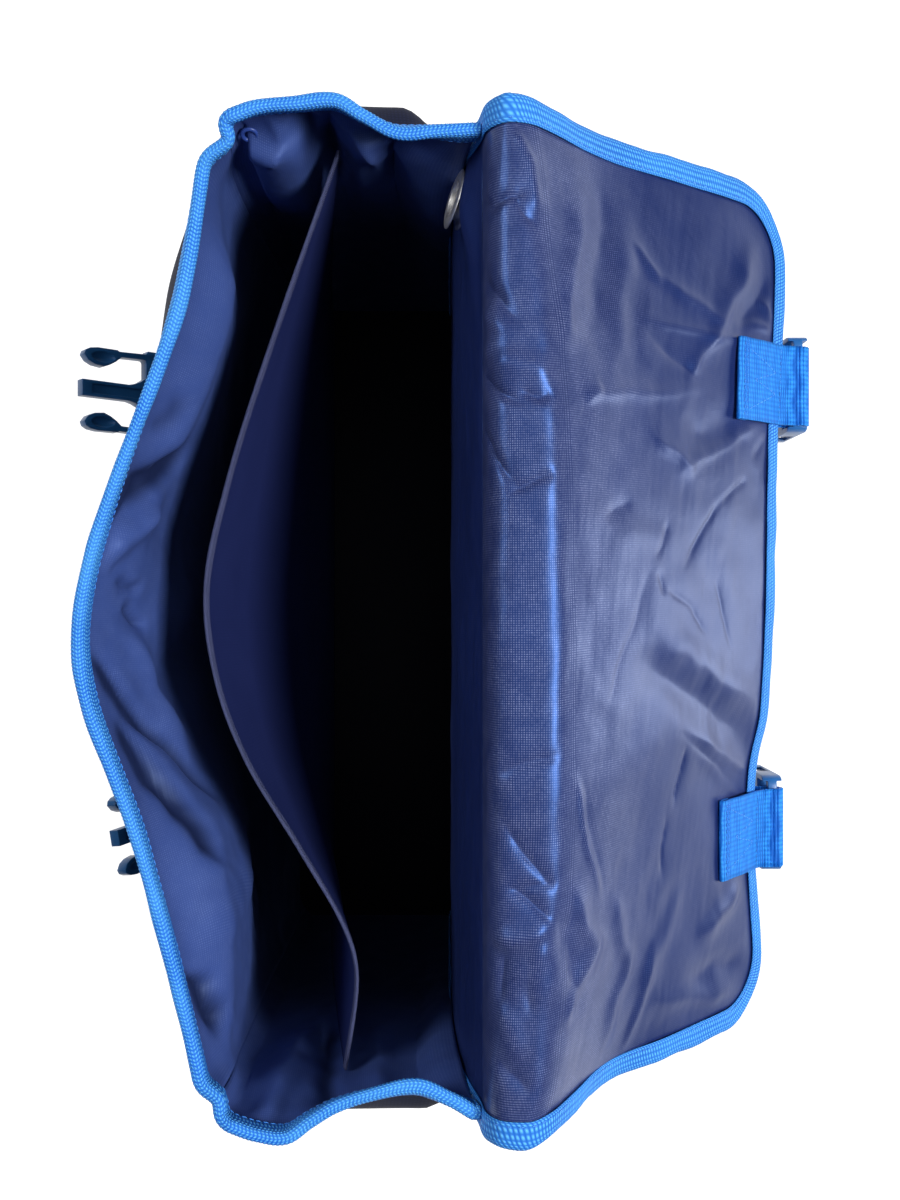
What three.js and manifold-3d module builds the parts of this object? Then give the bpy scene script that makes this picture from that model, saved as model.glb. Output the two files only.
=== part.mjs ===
// A soft school bag that stands on its base with its flap thrown open behind it.
// Millimetres, +Z up. The origin is the middle of the base's underside, X runs across the bag
// and the front faces -Y. Each cloth piece is a thin wall, laid out from a few named sizes.
import * as THREE from "three";
import { mergeVertices } from "three/addons/utils/BufferGeometryUtils.js";
import Module from "manifold-3d";

const wasm = await Module();
wasm.setup();

const { Vector3, Vector2, Shape, Path } = THREE;

// Driving dimensions
const base = { halfLength: 194, front: -51, back: 49.5, thickness: 3 };
const gap = 0.4;
const footZ = base.thickness + gap;
const wall = { girdle: 2.4, back: 2.6, divider: 1.6 };
const tape = { thickness: 1.2, cover: 8.5 };
const tapeSpace = { rim: 0.9, flap: 0.7 };
const hem = { thickness: 0.5, cover: 4 };
const webbing = { width: 38, thickness: 1.4 };

// The front wall's rim in plan, bowed out in the middle, and how far the wall bellies out under it.
const frontRim = { height: 282, easing: 1.6 };
const frontSections = [
  { across: -194, y: -51, belly: 8 },
  { across: -148, y: -57.4, belly: 20 },
  { across: -118, y: -64.4, belly: 20 },
  { across: -58, y: -86.8, belly: 8 },
  { across: -28, y: -97, belly: 2 },
  { across: 6, y: -102.5, belly: 0 },
  { across: 32, y: -99.4, belly: 0 },
  { across: 62, y: -88.2, belly: 1 },
  { across: 91, y: -77.8, belly: 2 },
  { across: 151, y: -61.6, belly: 4 },
  { across: 194, y: -51.5, belly: 2 },
];
const frontCorner = { inset: 14, cut: 0.45 };

// Soft folds that run slantwise down the front wall: place, width across, depth inwards and slant.
const frontFolds = [
  { across: -40, width: 14, depth: 3.2, slant: -0.35 },
  { across: 34, width: 16, depth: 3.6, slant: 0.4 },
  { across: 82, width: 14, depth: 2.6, slant: 0.35 },
  { across: 138, width: 9, depth: 2.2, slant: 0.2 },
];

// The gussets' rims in plan: y from the back wall to the front corner, and how far the rim stands
// out from the base's end there. Under the rim each gusset bulges out evenly.
const gussetRim = { height: 291, fold: 28 };
const leftGusset = {
  sign: -1,
  bulge: 18,
  fade: 26,
  rim: [
    { y: 55, out: -1.5 },
    { y: 40, out: -2 },
    { y: 25, out: -2.5 },
    { y: 12, out: 4 },
    { y: 1, out: 10 },
    { y: -15, out: 9 },
    { y: -30, out: 7.5 },
    { y: -40, out: 4 },
  ],
};
const rightGusset = {
  sign: 1,
  bulge: 7.5,
  fade: 16,
  rim: [
    { y: 55, out: -2 },
    { y: 46, out: -7 },
    { y: 33, out: -12 },
    { y: 16, out: -9 },
    { y: 1, out: -4 },
    { y: -9, out: 2 },
    { y: -18, out: 8 },
    { y: -30, out: 7 },
    { y: -40, out: 3.5 },
  ],
};

// The back wall leans back towards its top, then folds over a narrow spine into the flap.
const backWall = { foot: 48, lean: 12, easing: 7, top: 286, halfWidth: 198 };
const spine = { shoulder: 297, top: 304 };
const flapCorner = 32;

// Sections of the open flap across the bag: the ridge where it turns down, its outer edge, and how
// far it sags below the straight line between them.
const flapSections = [
  { across: -198, ridge: 70, edgeY: 205, edgeZ: 181, sag: 12 },
  { across: -150, ridge: 76, edgeY: 205.5, edgeZ: 182, sag: 7 },
  { across: -85, ridge: 83, edgeY: 202, edgeZ: 182, sag: 2 },
  { across: 0, ridge: 86, edgeY: 200.5, edgeZ: 181, sag: -2 },
  { across: 50, ridge: 86, edgeY: 198, edgeZ: 180, sag: -2 },
  { across: 80, ridge: 86, edgeY: 192.5, edgeZ: 178, sag: 0 },
  { across: 120, ridge: 84, edgeY: 193, edgeZ: 175, sag: 4 },
  { across: 165, ridge: 80, edgeY: 197, edgeZ: 171, sag: 14 },
  { across: 198, ridge: 75, edgeY: 199, edgeZ: 168, sag: 24 },
];
const flapSkew = -4.5;

// The divider's top edge in plan, which waves from the left gusset to the right one.
const dividerTop = [
  { across: -202, y: -2 },
  { across: -108, y: -35 },
  { across: -56, y: -51 },
  { across: -13, y: -59.5 },
  { across: 26, y: -55 },
  { across: 61, y: -42 },
  { across: 99, y: -19 },
  { across: 134, y: 1 },
  { across: 155, y: 6 },
  { across: 194, y: 1 },
];
const divider = { height: 245, footY: -28, footHalfLength: 190, easing: 1.3 };

// Buckles and what carries them
const buckleAcross = 107.5;
const plug = {
  thickness: 5.5, halfWidth: 21.5, tail: -20, tailBar: 4.5, slotHalfWidth: 19.6, crossbar: 8.5,
  reach: 33, armOuter: 19.9, armWidth: 2.8, headFrom: 14, headWidth: 8.8,
  tongueRoot: 8, tongueHalfWidth: 3.9, tongueNeck: 9,
};
const socket = {
  thickness: 9.6, halfWidth: 23.2, bar: 4.4, slot: 6.4, slotHalfWidth: 20.8, shift: -1.6, body: 31, corner: 5,
  cavityHalfWidth: 21.5, cavityThickness: 6.4, cavityDepth: 27, window: 15, windowFrom: 8,
};
const tab = { sewn: 35, reachOut: 12, drop: 3, across: [-buckleAcross, buckleAcross] };
const straps = [
  { side: "left", across: -buckleAcross - 2, sewnFrom: 62, sewnTo: 120, tipY: -130, tipZ: 193, pitch: 42, yaw: 0 },
  { side: "right", across: buckleAcross, sewnFrom: 62, sewnTo: 104, tipY: -117, tipZ: 181, pitch: 62, yaw: 9 },
];
const strapClearance = 1.6;
const loopSlack = 1.3;
const eyelet = { across: -176, height: 258, hole: 6.5, barrel: 7.3, flange: 12.5, washer: 11, crown: 1.6 };
const rivet = { y: -37, height: 270, radius: 4, hole: 2, thickness: 1, lift: 1.9 };

const colours = {
  lining: { color: 0x232c52, roughness: 0.5, metalness: 0 },
  outer: { color: 0x1a1d2c, roughness: 0.75, metalness: 0 },
  tape: { color: 0x2a7fdc, roughness: 0.7, metalness: 0 },
  webbing: { color: 0x2d86e2, roughness: 0.75, metalness: 0 },
  hem: { color: 0x474d6e, roughness: 0.7, metalness: 0 },
  plastic: { color: 0x12294a, roughness: 0.35, metalness: 0 },
  steel: { color: 0xb9b6b0, roughness: 0.3, metalness: 1 },
};

// Curves and small sums

function mix(from, to, share) {
  return from + (to - from) * share;
}

function bell(distance, spread) {
  return Math.exp(-((distance / spread) ** 2));
}

// Evenly spaced numbers from one value to another, both included.
function steps(from, to, count) {
  return Array.from({ length: count + 1 }, (_, i) => mix(from, to, i / count));
}

// A smooth curve through the rows of a table, read off at a place in its first column.
function readTable(rows, placeColumn, valueColumn, at) {
  const rising = rows.at(-1)[placeColumn] > rows[0][placeColumn];
  const ordered = rising ? rows : [...rows].reverse();
  let i = ordered.findIndex((row) => row[placeColumn] >= at);
  i = i < 0 ? ordered.length - 1 : Math.max(i, 1);
  const low = ordered[i - 1];
  const high = ordered[i];
  const run = high[placeColumn] - low[placeColumn];
  const share = THREE.MathUtils.clamp((at - low[placeColumn]) / run, 0, 1);
  const slopeAt = (k) => {
    const a = ordered[Math.max(k - 1, 0)];
    const b = ordered[Math.min(k + 1, ordered.length - 1)];
    return (b[valueColumn] - a[valueColumn]) / (b[placeColumn] - a[placeColumn]);
  };
  const square = share * share;
  const cube = square * share;
  return (2 * cube - 3 * square + 1) * low[valueColumn] + (cube - 2 * square + share) * run * slopeAt(i - 1)
    + (3 * square - 2 * cube) * high[valueColumn] + (cube - square) * run * slopeAt(i);
}

// Meshes

// A closed geometry from vertices and triangles, turned so that its faces point outwards.
function closedGeometry(vertices, triangles) {
  const cross = new Vector3();
  let volume = 0;
  for (const [a, b, c] of triangles) volume += vertices[a].dot(cross.crossVectors(vertices[b], vertices[c]));
  const index = triangles.flatMap(([a, b, c]) => (volume > 0 ? [a, b, c] : [a, c, b]));
  const geometry = new THREE.BufferGeometry().setFromPoints(vertices);
  geometry.setIndex(index);
  geometry.computeVertexNormals();
  return geometry;
}

// The normal at each point of a grid, from its neighbours.
function gridNormals(grid) {
  const lastRow = grid.length - 1;
  const lastColumn = grid[0].length - 1;
  return grid.map((row, r) => row.map((_, c) => {
    const along = new Vector3().subVectors(row[Math.min(c + 1, lastColumn)], row[Math.max(c - 1, 0)]);
    const down = new Vector3().subVectors(grid[Math.min(r + 1, lastRow)][c], grid[Math.max(r - 1, 0)][c]);
    return along.cross(down).normalize();
  }));
}

// A cloth wall of even thickness about a grid of points.
function sheet(grid, thickness, normals = gridNormals(grid)) {
  const rows = grid.length;
  const columns = grid[0].length;
  const layer = (side) => grid.flatMap((row, r) => row.map(
    (point, c) => point.clone().addScaledVector(normals[r][c], side * thickness / 2)));
  const vertices = [...layer(1), ...layer(-1)];
  const under = rows * columns;
  const triangles = [];
  const quad = (a, b, c, d) => triangles.push([a, b, c], [a, c, d]);
  for (let r = 0; r < rows - 1; r++) {
    for (let c = 0; c < columns - 1; c++) {
      const i = r * columns + c;
      quad(i, i + 1, i + columns + 1, i + columns);
      quad(under + i, under + i + columns, under + i + columns + 1, under + i + 1);
    }
  }
  const border = [];
  for (let c = 0; c < columns - 1; c++) border.push(c);
  for (let r = 0; r < rows - 1; r++) border.push(r * columns + columns - 1);
  for (let c = columns - 1; c > 0; c--) border.push((rows - 1) * columns + c);
  for (let r = rows - 1; r > 0; r--) border.push(r * columns);
  border.forEach((i, k) => {
    const next = border[(k + 1) % border.length];
    quad(next, i, under + i, under + next);
  });
  return closedGeometry(vertices, triangles);
}

// A tape folded over a cloth edge. Each station holds the edge, a point further in, and their normals.
function foldedTape(stations, clothThickness, { thickness, space = gap }) {
  const inner = clothThickness / 2 + space;
  const outer = inner + thickness;
  const vertices = stations.flatMap(({ edge, inset, edgeNormal, insetNormal }) => {
    const out = new Vector3().subVectors(edge, inset).normalize();
    const place = (from, normal, side, beyond) => (
      from.clone().addScaledVector(normal, side).addScaledVector(out, beyond));
    return [
      place(inset, insetNormal, outer, 0), place(edge, edgeNormal, outer, space + thickness / 2),
      place(edge, edgeNormal, 0, space + thickness * 1.5),
      place(edge, edgeNormal, -outer, space + thickness / 2), place(inset, insetNormal, -outer, 0),
      place(inset, insetNormal, -inner, 0), place(edge, edgeNormal, -inner, space),
      place(edge, edgeNormal, 0, space + thickness * 0.3),
      place(edge, edgeNormal, inner, space), place(inset, insetNormal, inner, 0),
    ];
  });
  const ring = 10;
  const triangles = [];
  const quad = (a, b, c, d) => triangles.push([a, b, c], [a, c, d]);
  for (let s = 0; s < stations.length - 1; s++) {
    for (let k = 0; k < ring; k++) {
      const next = (k + 1) % ring;
      quad(s * ring + k, s * ring + next, (s + 1) * ring + next, (s + 1) * ring + k);
    }
  }
  const last = (stations.length - 1) * ring;
  for (let k = 0; k < ring / 2 - 1; k++) {
    const across = ring - 1 - k;
    quad(k + 1, k, across, across - 1);
    quad(last + k, last + k + 1, last + across - 1, last + across);
  }
  return closedGeometry(vertices, triangles);
}

function toSolid(geometry) {
  const bare = geometry.clone();
  for (const name of Object.keys(bare.attributes)) {
    if (name !== "position") bare.deleteAttribute(name);
  }
  const merged = mergeVertices(bare, 1e-4);
  return new wasm.Manifold(new wasm.Mesh({
    numProp: 3,
    vertProperties: new Float32Array(merged.attributes.position.array),
    triVerts: new Uint32Array(merged.index.array),
  }));
}

function fromSolid(solid) {
  const made = solid.getMesh();
  const geometry = new THREE.BufferGeometry();
  geometry.setAttribute("position", new THREE.BufferAttribute(new Float32Array(made.vertProperties), 3));
  geometry.setIndex(new THREE.BufferAttribute(new Uint32Array(made.triVerts), 1));
  geometry.computeVertexNormals();
  return geometry;
}

const bag = new THREE.Group();

function add(name, geometry, finish, parent = bag) {
  const material = new THREE.MeshStandardMaterial(colours[finish]);
  const mesh = new THREE.Mesh(geometry, material);
  mesh.name = name;
  parent.add(mesh);
  return mesh;
}

// The back wall, spine and flap are one cloth, made of sections across the bag.

function backFace(z) {
  return backWall.foot + backWall.lean * (z / backWall.top) ** backWall.easing;
}

const backShares = [0, 0.3, 0.55, 0.72, 0.82, 0.88, 0.94, 1];
const backHeights = backShares.map((share) => mix(footZ, backWall.top, share));
const slopeShares = [0.25, 0.5, 0.75, 1];
const profilePoints = backHeights.length + 5 + slopeShares.length;
const seamAt = (backHeights.length - 1) / (profilePoints - 1);
const ridgeAt = (backHeights.length + 3) / (profilePoints - 1);
const slopeAt = (backHeights.length + 4) / (profilePoints - 1);

// One section of the cloth, from the foot of the back wall to the flap's outer edge.
function clothSection(across) {
  const at = (column) => readTable(flapSections, "across", column, across);
  const ridge = at("ridge");
  const top = backFace(backWall.top);
  const turn = { y: ridge + 7, z: spine.top - 6 };
  const points = backHeights.map((z) => [backFace(z), z]);
  points.push([top + 2, spine.shoulder], [top + 6, spine.top - 1.5]);
  points.push([mix(top + 6, ridge, 0.5), spine.top], [ridge, spine.top - 0.5], [turn.y, turn.z]);
  for (const share of slopeShares) {
    const dip = Math.sin(Math.PI * Math.sqrt(share)) * (1 - share);
    const z = mix(turn.z, at("edgeZ"), share) - at("sag") * dip;
    points.push([mix(turn.y, at("edgeY"), share), z]);
  }
  return new THREE.CatmullRomCurve3(points.map(([y, z]) => new Vector3(across, y, z)), false, "centripetal");
}

const slopeLength = 155;

// How far along a section lies a place on the flap that is some distance up from its outer edge.
function alongFromEdge(distance) {
  return 1 - (1 - slopeAt) * distance / slopeLength;
}

function clothPoint(across, along) {
  const point = clothSection(across).getPoint(along);
  point.x += flapSkew * Math.max(0, (along - ridgeAt) / (1 - ridgeAt));
  return point;
}

function clothNormal(across, along) {
  const nudge = { across: 2, along: 0.004 };
  const wide = clothPoint(across + nudge.across, along).sub(clothPoint(across - nudge.across, along));
  const ahead = Math.min(along + nudge.along, 1);
  const behind = Math.max(along - nudge.along, 0);
  return wide.cross(clothPoint(across, ahead).sub(clothPoint(across, behind))).normalize();
}

const half = backWall.halfWidth;
const clothColumns = [-1, -1 + tape.cover / half, ...steps(-0.85, 0.85, 12), 1 - tape.cover / half, 1];

function clothGrid(rows) {
  const spots = rows.map(({ along, halfWidth }) => clothColumns.map((share) => [share * halfWidth, along]));
  const grid = spots.map((row) => row.map(([across, along]) => clothPoint(across, along)));
  const normals = spots.map((row) => row.map(([across, along]) => clothNormal(across, along)));
  return { grid, normals };
}

const seamSlack = 0.0012;
const backRows = steps(0, seamAt - seamSlack, backShares.length - 1);
const foldRows = steps(seamAt + seamSlack, slopeAt, 13);
const plainRows = steps(slopeLength, flapCorner, 6).slice(1).map(alongFromEdge);
const cornerTurns = steps(0, Math.PI / 2, 5).slice(1);

function addBackAndFlap() {
  const back = clothGrid(backRows.map((along) => ({ along, halfWidth: half })));
  const straight = [...foldRows, ...plainRows].map((along) => ({ along, halfWidth: half }));
  const rounded = cornerTurns.map((turn) => ({
    along: alongFromEdge(flapCorner * (1 - Math.sin(turn))),
    halfWidth: half - flapCorner * (1 - Math.cos(turn)),
  }));
  const flap = clothGrid([...straight, ...rounded]);
  const drill = new THREE.CylinderGeometry(eyelet.barrel + gap, eyelet.barrel + gap, 20, 24);
  drill.applyMatrix4(eyeletFrame());
  const backSolid = toSolid(sheet(back.grid, wall.back, back.normals)).subtract(toSolid(drill));
  add("back_panel", fromSolid(backSolid), "outer");
  add("flap", sheet(flap.grid, wall.back, flap.normals), "lining");
}

// A tape runs up one side of the back wall, round the flap and down the other side.
function addFlapBinding() {
  const station = (edge, inset) => ({
    edge: clothPoint(...edge),
    inset: clothPoint(...inset),
    edgeNormal: clothNormal(...edge),
    insetNormal: clothNormal(...inset),
  });
  const side = (sign) => [...backRows, ...foldRows, ...plainRows].map(
    (along) => station([sign * half, along], [sign * (half - tape.cover), along]));
  const corner = (sign) => cornerTurns.map((turn) => {
    const spot = (radius) => [
      sign * (half - flapCorner + radius * Math.cos(turn)),
      alongFromEdge(flapCorner - radius * Math.sin(turn)),
    ];
    return station(spot(flapCorner), spot(flapCorner - tape.cover));
  });
  const outer = clothColumns.slice(2, -2).map((share) => {
    const across = share * (half - flapCorner);
    return station([across, 1], [across, alongFromEdge(tape.cover)]);
  });
  const round = [
    ...side(-1), ...corner(-1), ...outer, ...corner(1).reverse(), ...side(1).reverse(),
  ];
  add("flap_binding", foldedTape(round, wall.back, { ...tape, space: tapeSpace.flap }), "tape");
}

// The front wall and the two gussets are one girdle round the base, cut at the front corners.

function gussetPoint({ sign, bulge, fade, rim }, y, height) {
  const share = (height - footZ) / (gussetRim.height - footZ);
  const backFoot = backWall.foot - wall.back / 2 - tape.thickness - 3.5 * gap;
  const footY = mix(base.front, backFoot, (y - base.front) / (rim[0].y - base.front));
  const fromBack = THREE.MathUtils.smoothstep(rim[0].y - y, 0, fade);
  const body = bulge * fromBack * Math.sin(Math.PI / 2 * Math.min(share / 0.8, 1));
  const nearRim = THREE.MathUtils.smoothstep(height, gussetRim.height - gussetRim.fold, gussetRim.height);
  const out = mix(body, readTable(rim, "y", "out", y), nearRim);
  return new Vector3(
    sign * (base.halfLength + out),
    mix(footY, y, share ** backWall.easing),
    height,
  );
}

function frontPoint(across, share) {
  const height = mix(footZ, frontRim.height, share);
  const at = (column) => readTable(frontSections, "across", column, across);
  const bow = (at("y") - base.front) * (1 - (1 - share) ** frontRim.easing);
  const belly = at("belly") * Math.sin(Math.PI * share ** 2);
  const folds = frontFolds.reduce((sum, fold) => {
    const away = across - fold.across - fold.slant * (height - frontRim.height);
    return sum + fold.depth * bell(away, fold.width) * Math.sin(Math.PI * share ** 2);
  }, 0);
  return new Vector3(across, base.front + bow - belly + folds, height);
}

const girdleShares = [1, 1 - tape.cover / frontRim.height, 0.93, 0.88, 0.76, 0.62, 0.44, 0.22, 0];

function gussetColumn(gusset, y) {
  return girdleShares.map((share) => gussetPoint(gusset, y, mix(footZ, gussetRim.height, share)));
}

function frontColumn(across) {
  return girdleShares.map((share) => frontPoint(across, share));
}

// The column at a front corner, at a share of the way from the gusset round to the front.
function cornerColumn(gusset, share) {
  const gussetEnd = gussetColumn(gusset, gusset.rim.at(-1).y);
  const frontEnd = frontColumn(gusset.sign * (base.halfLength - frontCorner.inset));
  return gussetEnd.map((from, row) => {
    const to = frontEnd[row];
    const middle = from.clone().lerp(to, 0.5);
    const bend = new Vector3(from.x, to.y, middle.z).lerp(middle, frontCorner.cut);
    return new THREE.QuadraticBezierCurve3(from, bend, to).getPoint(share);
  });
}

const frontEdge = base.halfLength - frontCorner.inset;
const seamShare = 0.5;
const seamHalf = 0.025;
const cornerShares = [0.2, seamShare - seamHalf, seamShare + seamHalf, 0.8];

function gussetColumns(gusset) {
  const { rim } = gusset;
  const plain = steps(rim[0].y, rim.at(-1).y, 13).map((y) => gussetColumn(gusset, y));
  const corner = cornerShares.map((share) => cornerColumn(gusset, share));
  return { plain, corner };
}

function addGirdle() {
  const left = gussetColumns(leftGusset);
  const right = gussetColumns(rightGusset);
  const front = steps(-frontEdge, frontEdge, 21).map(frontColumn);
  const columns = [
    ...left.plain, ...left.corner, ...front, ...right.corner.reverse(), ...right.plain.reverse(),
  ];
  const grid = girdleShares.map((_, row) => columns.map((column) => column[row]));
  const normals = gridNormals(grid);
  const half = cornerShares.length / 2;
  const leftEnd = left.plain.length + half;
  const rightStart = columns.length - right.plain.length - half;
  const slice = (name, from, to) => {
    const part = (rows) => rows.map((row) => row.slice(from, to));
    add(name, sheet(part(grid), wall.girdle, part(normals)), "lining");
  };
  slice("gusset_left", 0, leftEnd);
  slice("front_panel", leftEnd, rightStart);
  slice("gusset_right", rightStart, columns.length);
  const stations = columns.map((_, i) => ({
    edge: grid[0][i], inset: grid[1][i], edgeNormal: normals[0][i], insetNormal: normals[1][i],
  }));
  add("rim_binding", foldedTape(stations, wall.girdle, { ...tape, space: tapeSpace.rim }), "tape");
}

function addBase() {
  const outline = new Shape();
  const inset = 4;
  const x = base.halfLength + 1;
  const back = base.back + 0.5;
  outline.moveTo(-x + inset, base.front - 1);
  outline.lineTo(x - inset, base.front - 1);
  outline.quadraticCurveTo(x, base.front - 1, x, base.front - 1 + inset);
  outline.lineTo(x, back);
  outline.lineTo(-x, back);
  outline.lineTo(-x, base.front - 1 + inset);
  outline.quadraticCurveTo(-x, base.front - 1, -x + inset, base.front - 1);
  const plate = new THREE.ExtrudeGeometry(outline, {
    depth: base.thickness, bevelEnabled: false, curveSegments: 4,
  });
  add("base_panel", plate, "outer");
}

// A divider stands between the gussets and waves along its top edge, which has a narrow hem.
function dividerPoint(share, height) {
  const rise = (height - footZ) / (divider.height - footZ);
  const ends = [dividerTop[0].across, dividerTop.at(-1).across];
  const topAcross = mix(ends[0], ends[1], share);
  const footAcross = mix(-divider.footHalfLength, divider.footHalfLength, share);
  const topY = readTable(dividerTop, "across", "y", topAcross);
  return new Vector3(
    mix(footAcross, topAcross, rise ** 2),
    mix(divider.footY, topY, rise ** divider.easing),
    height,
  );
}

function addDivider() {
  const heights = [divider.height, divider.height - hem.cover, 215, 175, 130, 80, 40, footZ];
  const shares = steps(0, 1, 24);
  const grid = heights.map((height) => shares.map((share) => dividerPoint(share, height)));
  const normals = gridNormals(grid);
  add("divider", sheet(grid, wall.divider, normals), "lining");
  const stations = shares.map((_, i) => ({
    edge: grid[0][i], inset: grid[1][i], edgeNormal: normals[0][i], insetNormal: normals[1][i],
  }));
  add("divider_hem", foldedTape(stations, wall.divider, hem), "hem");
}

// A metal eyelet goes through the back wall near its left end.
function eyeletFrame() {
  const rise = 1;
  const lean = backFace(eyelet.height + rise) - backFace(eyelet.height - rise);
  const outward = new Vector3(0, 2 * rise, -lean).normalize();
  const turn = new THREE.Quaternion().setFromUnitVectors(new Vector3(0, 1, 0), outward);
  const place = new Vector3(eyelet.across, backFace(eyelet.height), eyelet.height);
  return new THREE.Matrix4().compose(place, turn, new Vector3(1, 1, 1));
}

function addEyelet() {
  const face = wall.back / 2 + 2 * gap;
  const { hole, barrel, flange, washer, crown } = eyelet;
  const profile = [
    [hole, -face - crown * 0.6], [mix(hole, flange, 0.35), -face - crown], [mix(hole, flange, 0.75), -face - crown * 0.8],
    [flange, -face], [barrel, -face], [barrel, face], [washer, face], [washer, face + 0.8], [hole, face + 1.2],
    [hole, -face - crown * 0.6],
  ];
  const ring = new THREE.LatheGeometry(profile.map(([r, y]) => new Vector2(r, y)), 24);
  const mesh = add("eyelet", ring, "steel");
  eyeletFrame().decompose(mesh.position, mesh.quaternion, mesh.scale);
}

// A small ring-shaped rivet is pressed into the left gusset's lining, under the rim.
function addRivet() {
  const { radius, hole, thickness } = rivet;
  const rounded = mix(hole, radius, 0.5);
  const profile = [
    [hole, 0], [radius, 0], [radius - 0.4, thickness * 0.8], [rounded, thickness], [hole + 0.3, thickness * 0.7], [hole, 0],
  ];
  const ring = new THREE.LatheGeometry(profile.map(([r, y]) => new Vector2(r, y)), 16);
  const mesh = add("gusset_rivet", ring, "lining");
  const spot = gussetPoint(leftGusset, rivet.y, rivet.height);
  const along = gussetPoint(leftGusset, rivet.y + 3, rivet.height).sub(spot);
  const up = gussetPoint(leftGusset, rivet.y, rivet.height + 3).sub(spot);
  const inward = along.cross(up).normalize();
  if (inward.x < 0) inward.negate();
  mesh.position.copy(spot).addScaledVector(inward, wall.girdle / 2 + rivet.lift);
  mesh.quaternion.setFromUnitVectors(new Vector3(0, 1, 0), inward);
}

// The plug half of a side-release buckle: a slotted body, a tongue and two springy arms.
function plugGeometry() {
  const p = plug;
  const outline = new Shape();
  const armInner = p.armOuter - p.armWidth;
  const bulge = p.armOuter - p.headWidth;
  outline.moveTo(-p.halfWidth, p.tail + 2);
  outline.quadraticCurveTo(-p.halfWidth, p.tail, -p.halfWidth + 2, p.tail);
  outline.lineTo(p.halfWidth - 2, p.tail);
  outline.quadraticCurveTo(p.halfWidth, p.tail, p.halfWidth, p.tail + 2);
  outline.lineTo(p.halfWidth, -1);
  outline.lineTo(p.armOuter, 0);
  outline.lineTo(p.armOuter - 0.6, p.headFrom);
  outline.lineTo(p.armOuter, p.headFrom + 1);
  outline.lineTo(p.armOuter, p.reach - 8);
  outline.quadraticCurveTo(p.armOuter - 0.4, p.reach - 1, mix(bulge, p.armOuter, 0.55), p.reach - 1);
  outline.quadraticCurveTo(bulge, p.reach - 3, bulge, p.headFrom + 8);
  outline.quadraticCurveTo(bulge + 1.5, p.headFrom + 3, armInner - 0.4, p.headFrom - 1);
  outline.lineTo(armInner, 1.5);
  outline.quadraticCurveTo(armInner, 0, armInner - 1.5, 0);
  outline.lineTo(p.tongueRoot, 0);
  outline.quadraticCurveTo(p.tongueHalfWidth + 0.6, p.tongueNeck * 0.5, p.tongueHalfWidth, p.tongueNeck);
  outline.lineTo(p.tongueHalfWidth, p.reach);
  outline.lineTo(-p.tongueHalfWidth, p.reach);
  outline.lineTo(-p.tongueHalfWidth, p.tongueNeck);
  outline.quadraticCurveTo(-p.tongueHalfWidth - 0.6, p.tongueNeck * 0.5, -p.tongueRoot, 0);
  outline.lineTo(-armInner + 1.5, 0);
  outline.quadraticCurveTo(-armInner, 0, -armInner, 1.5);
  outline.lineTo(-armInner + 0.4, p.headFrom - 1);
  outline.quadraticCurveTo(-bulge - 1.5, p.headFrom + 3, -bulge, p.headFrom + 8);
  outline.quadraticCurveTo(-bulge, p.reach - 3, -mix(bulge, p.armOuter, 0.55), p.reach - 1);
  outline.quadraticCurveTo(-p.armOuter + 0.4, p.reach - 1, -p.armOuter, p.reach - 8);
  outline.lineTo(-p.armOuter, p.headFrom + 1);
  outline.lineTo(-p.armOuter + 0.6, p.headFrom);
  outline.lineTo(-p.armOuter, 0);
  outline.lineTo(-p.halfWidth, -1);
  outline.closePath();
  const slot = new Path();
  slot.moveTo(-p.slotHalfWidth, p.tail + p.tailBar);
  slot.lineTo(-p.slotHalfWidth, -p.crossbar);
  slot.lineTo(p.slotHalfWidth, -p.crossbar);
  slot.lineTo(p.slotHalfWidth, p.tail + p.tailBar);
  slot.closePath();
  outline.holes.push(slot);
  const solid = new THREE.ExtrudeGeometry(outline, {
    depth: p.thickness, bevelEnabled: false, curveSegments: 3,
  });
  solid.translate(0, 0, -p.thickness / 2);
  return solid;
}

// The frame of a plug: its own y runs to the tips, and its origin is the root of the arms.
function plugFrame({ across, tipY, tipZ, pitch, yaw }) {
  const up = THREE.MathUtils.degToRad(pitch);
  const round = THREE.MathUtils.degToRad(yaw);
  const tipwards = new Vector3(Math.sin(round) * Math.cos(up), -Math.cos(round) * Math.cos(up), Math.sin(up));
  const sideways = new Vector3(Math.cos(round), Math.sin(round), 0);
  const faceUp = new Vector3().crossVectors(sideways, tipwards);
  const root = new Vector3(across, tipY, tipZ).addScaledVector(tipwards, -plug.reach);
  return { root, sideways, tipwards, faceUp };
}

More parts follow.
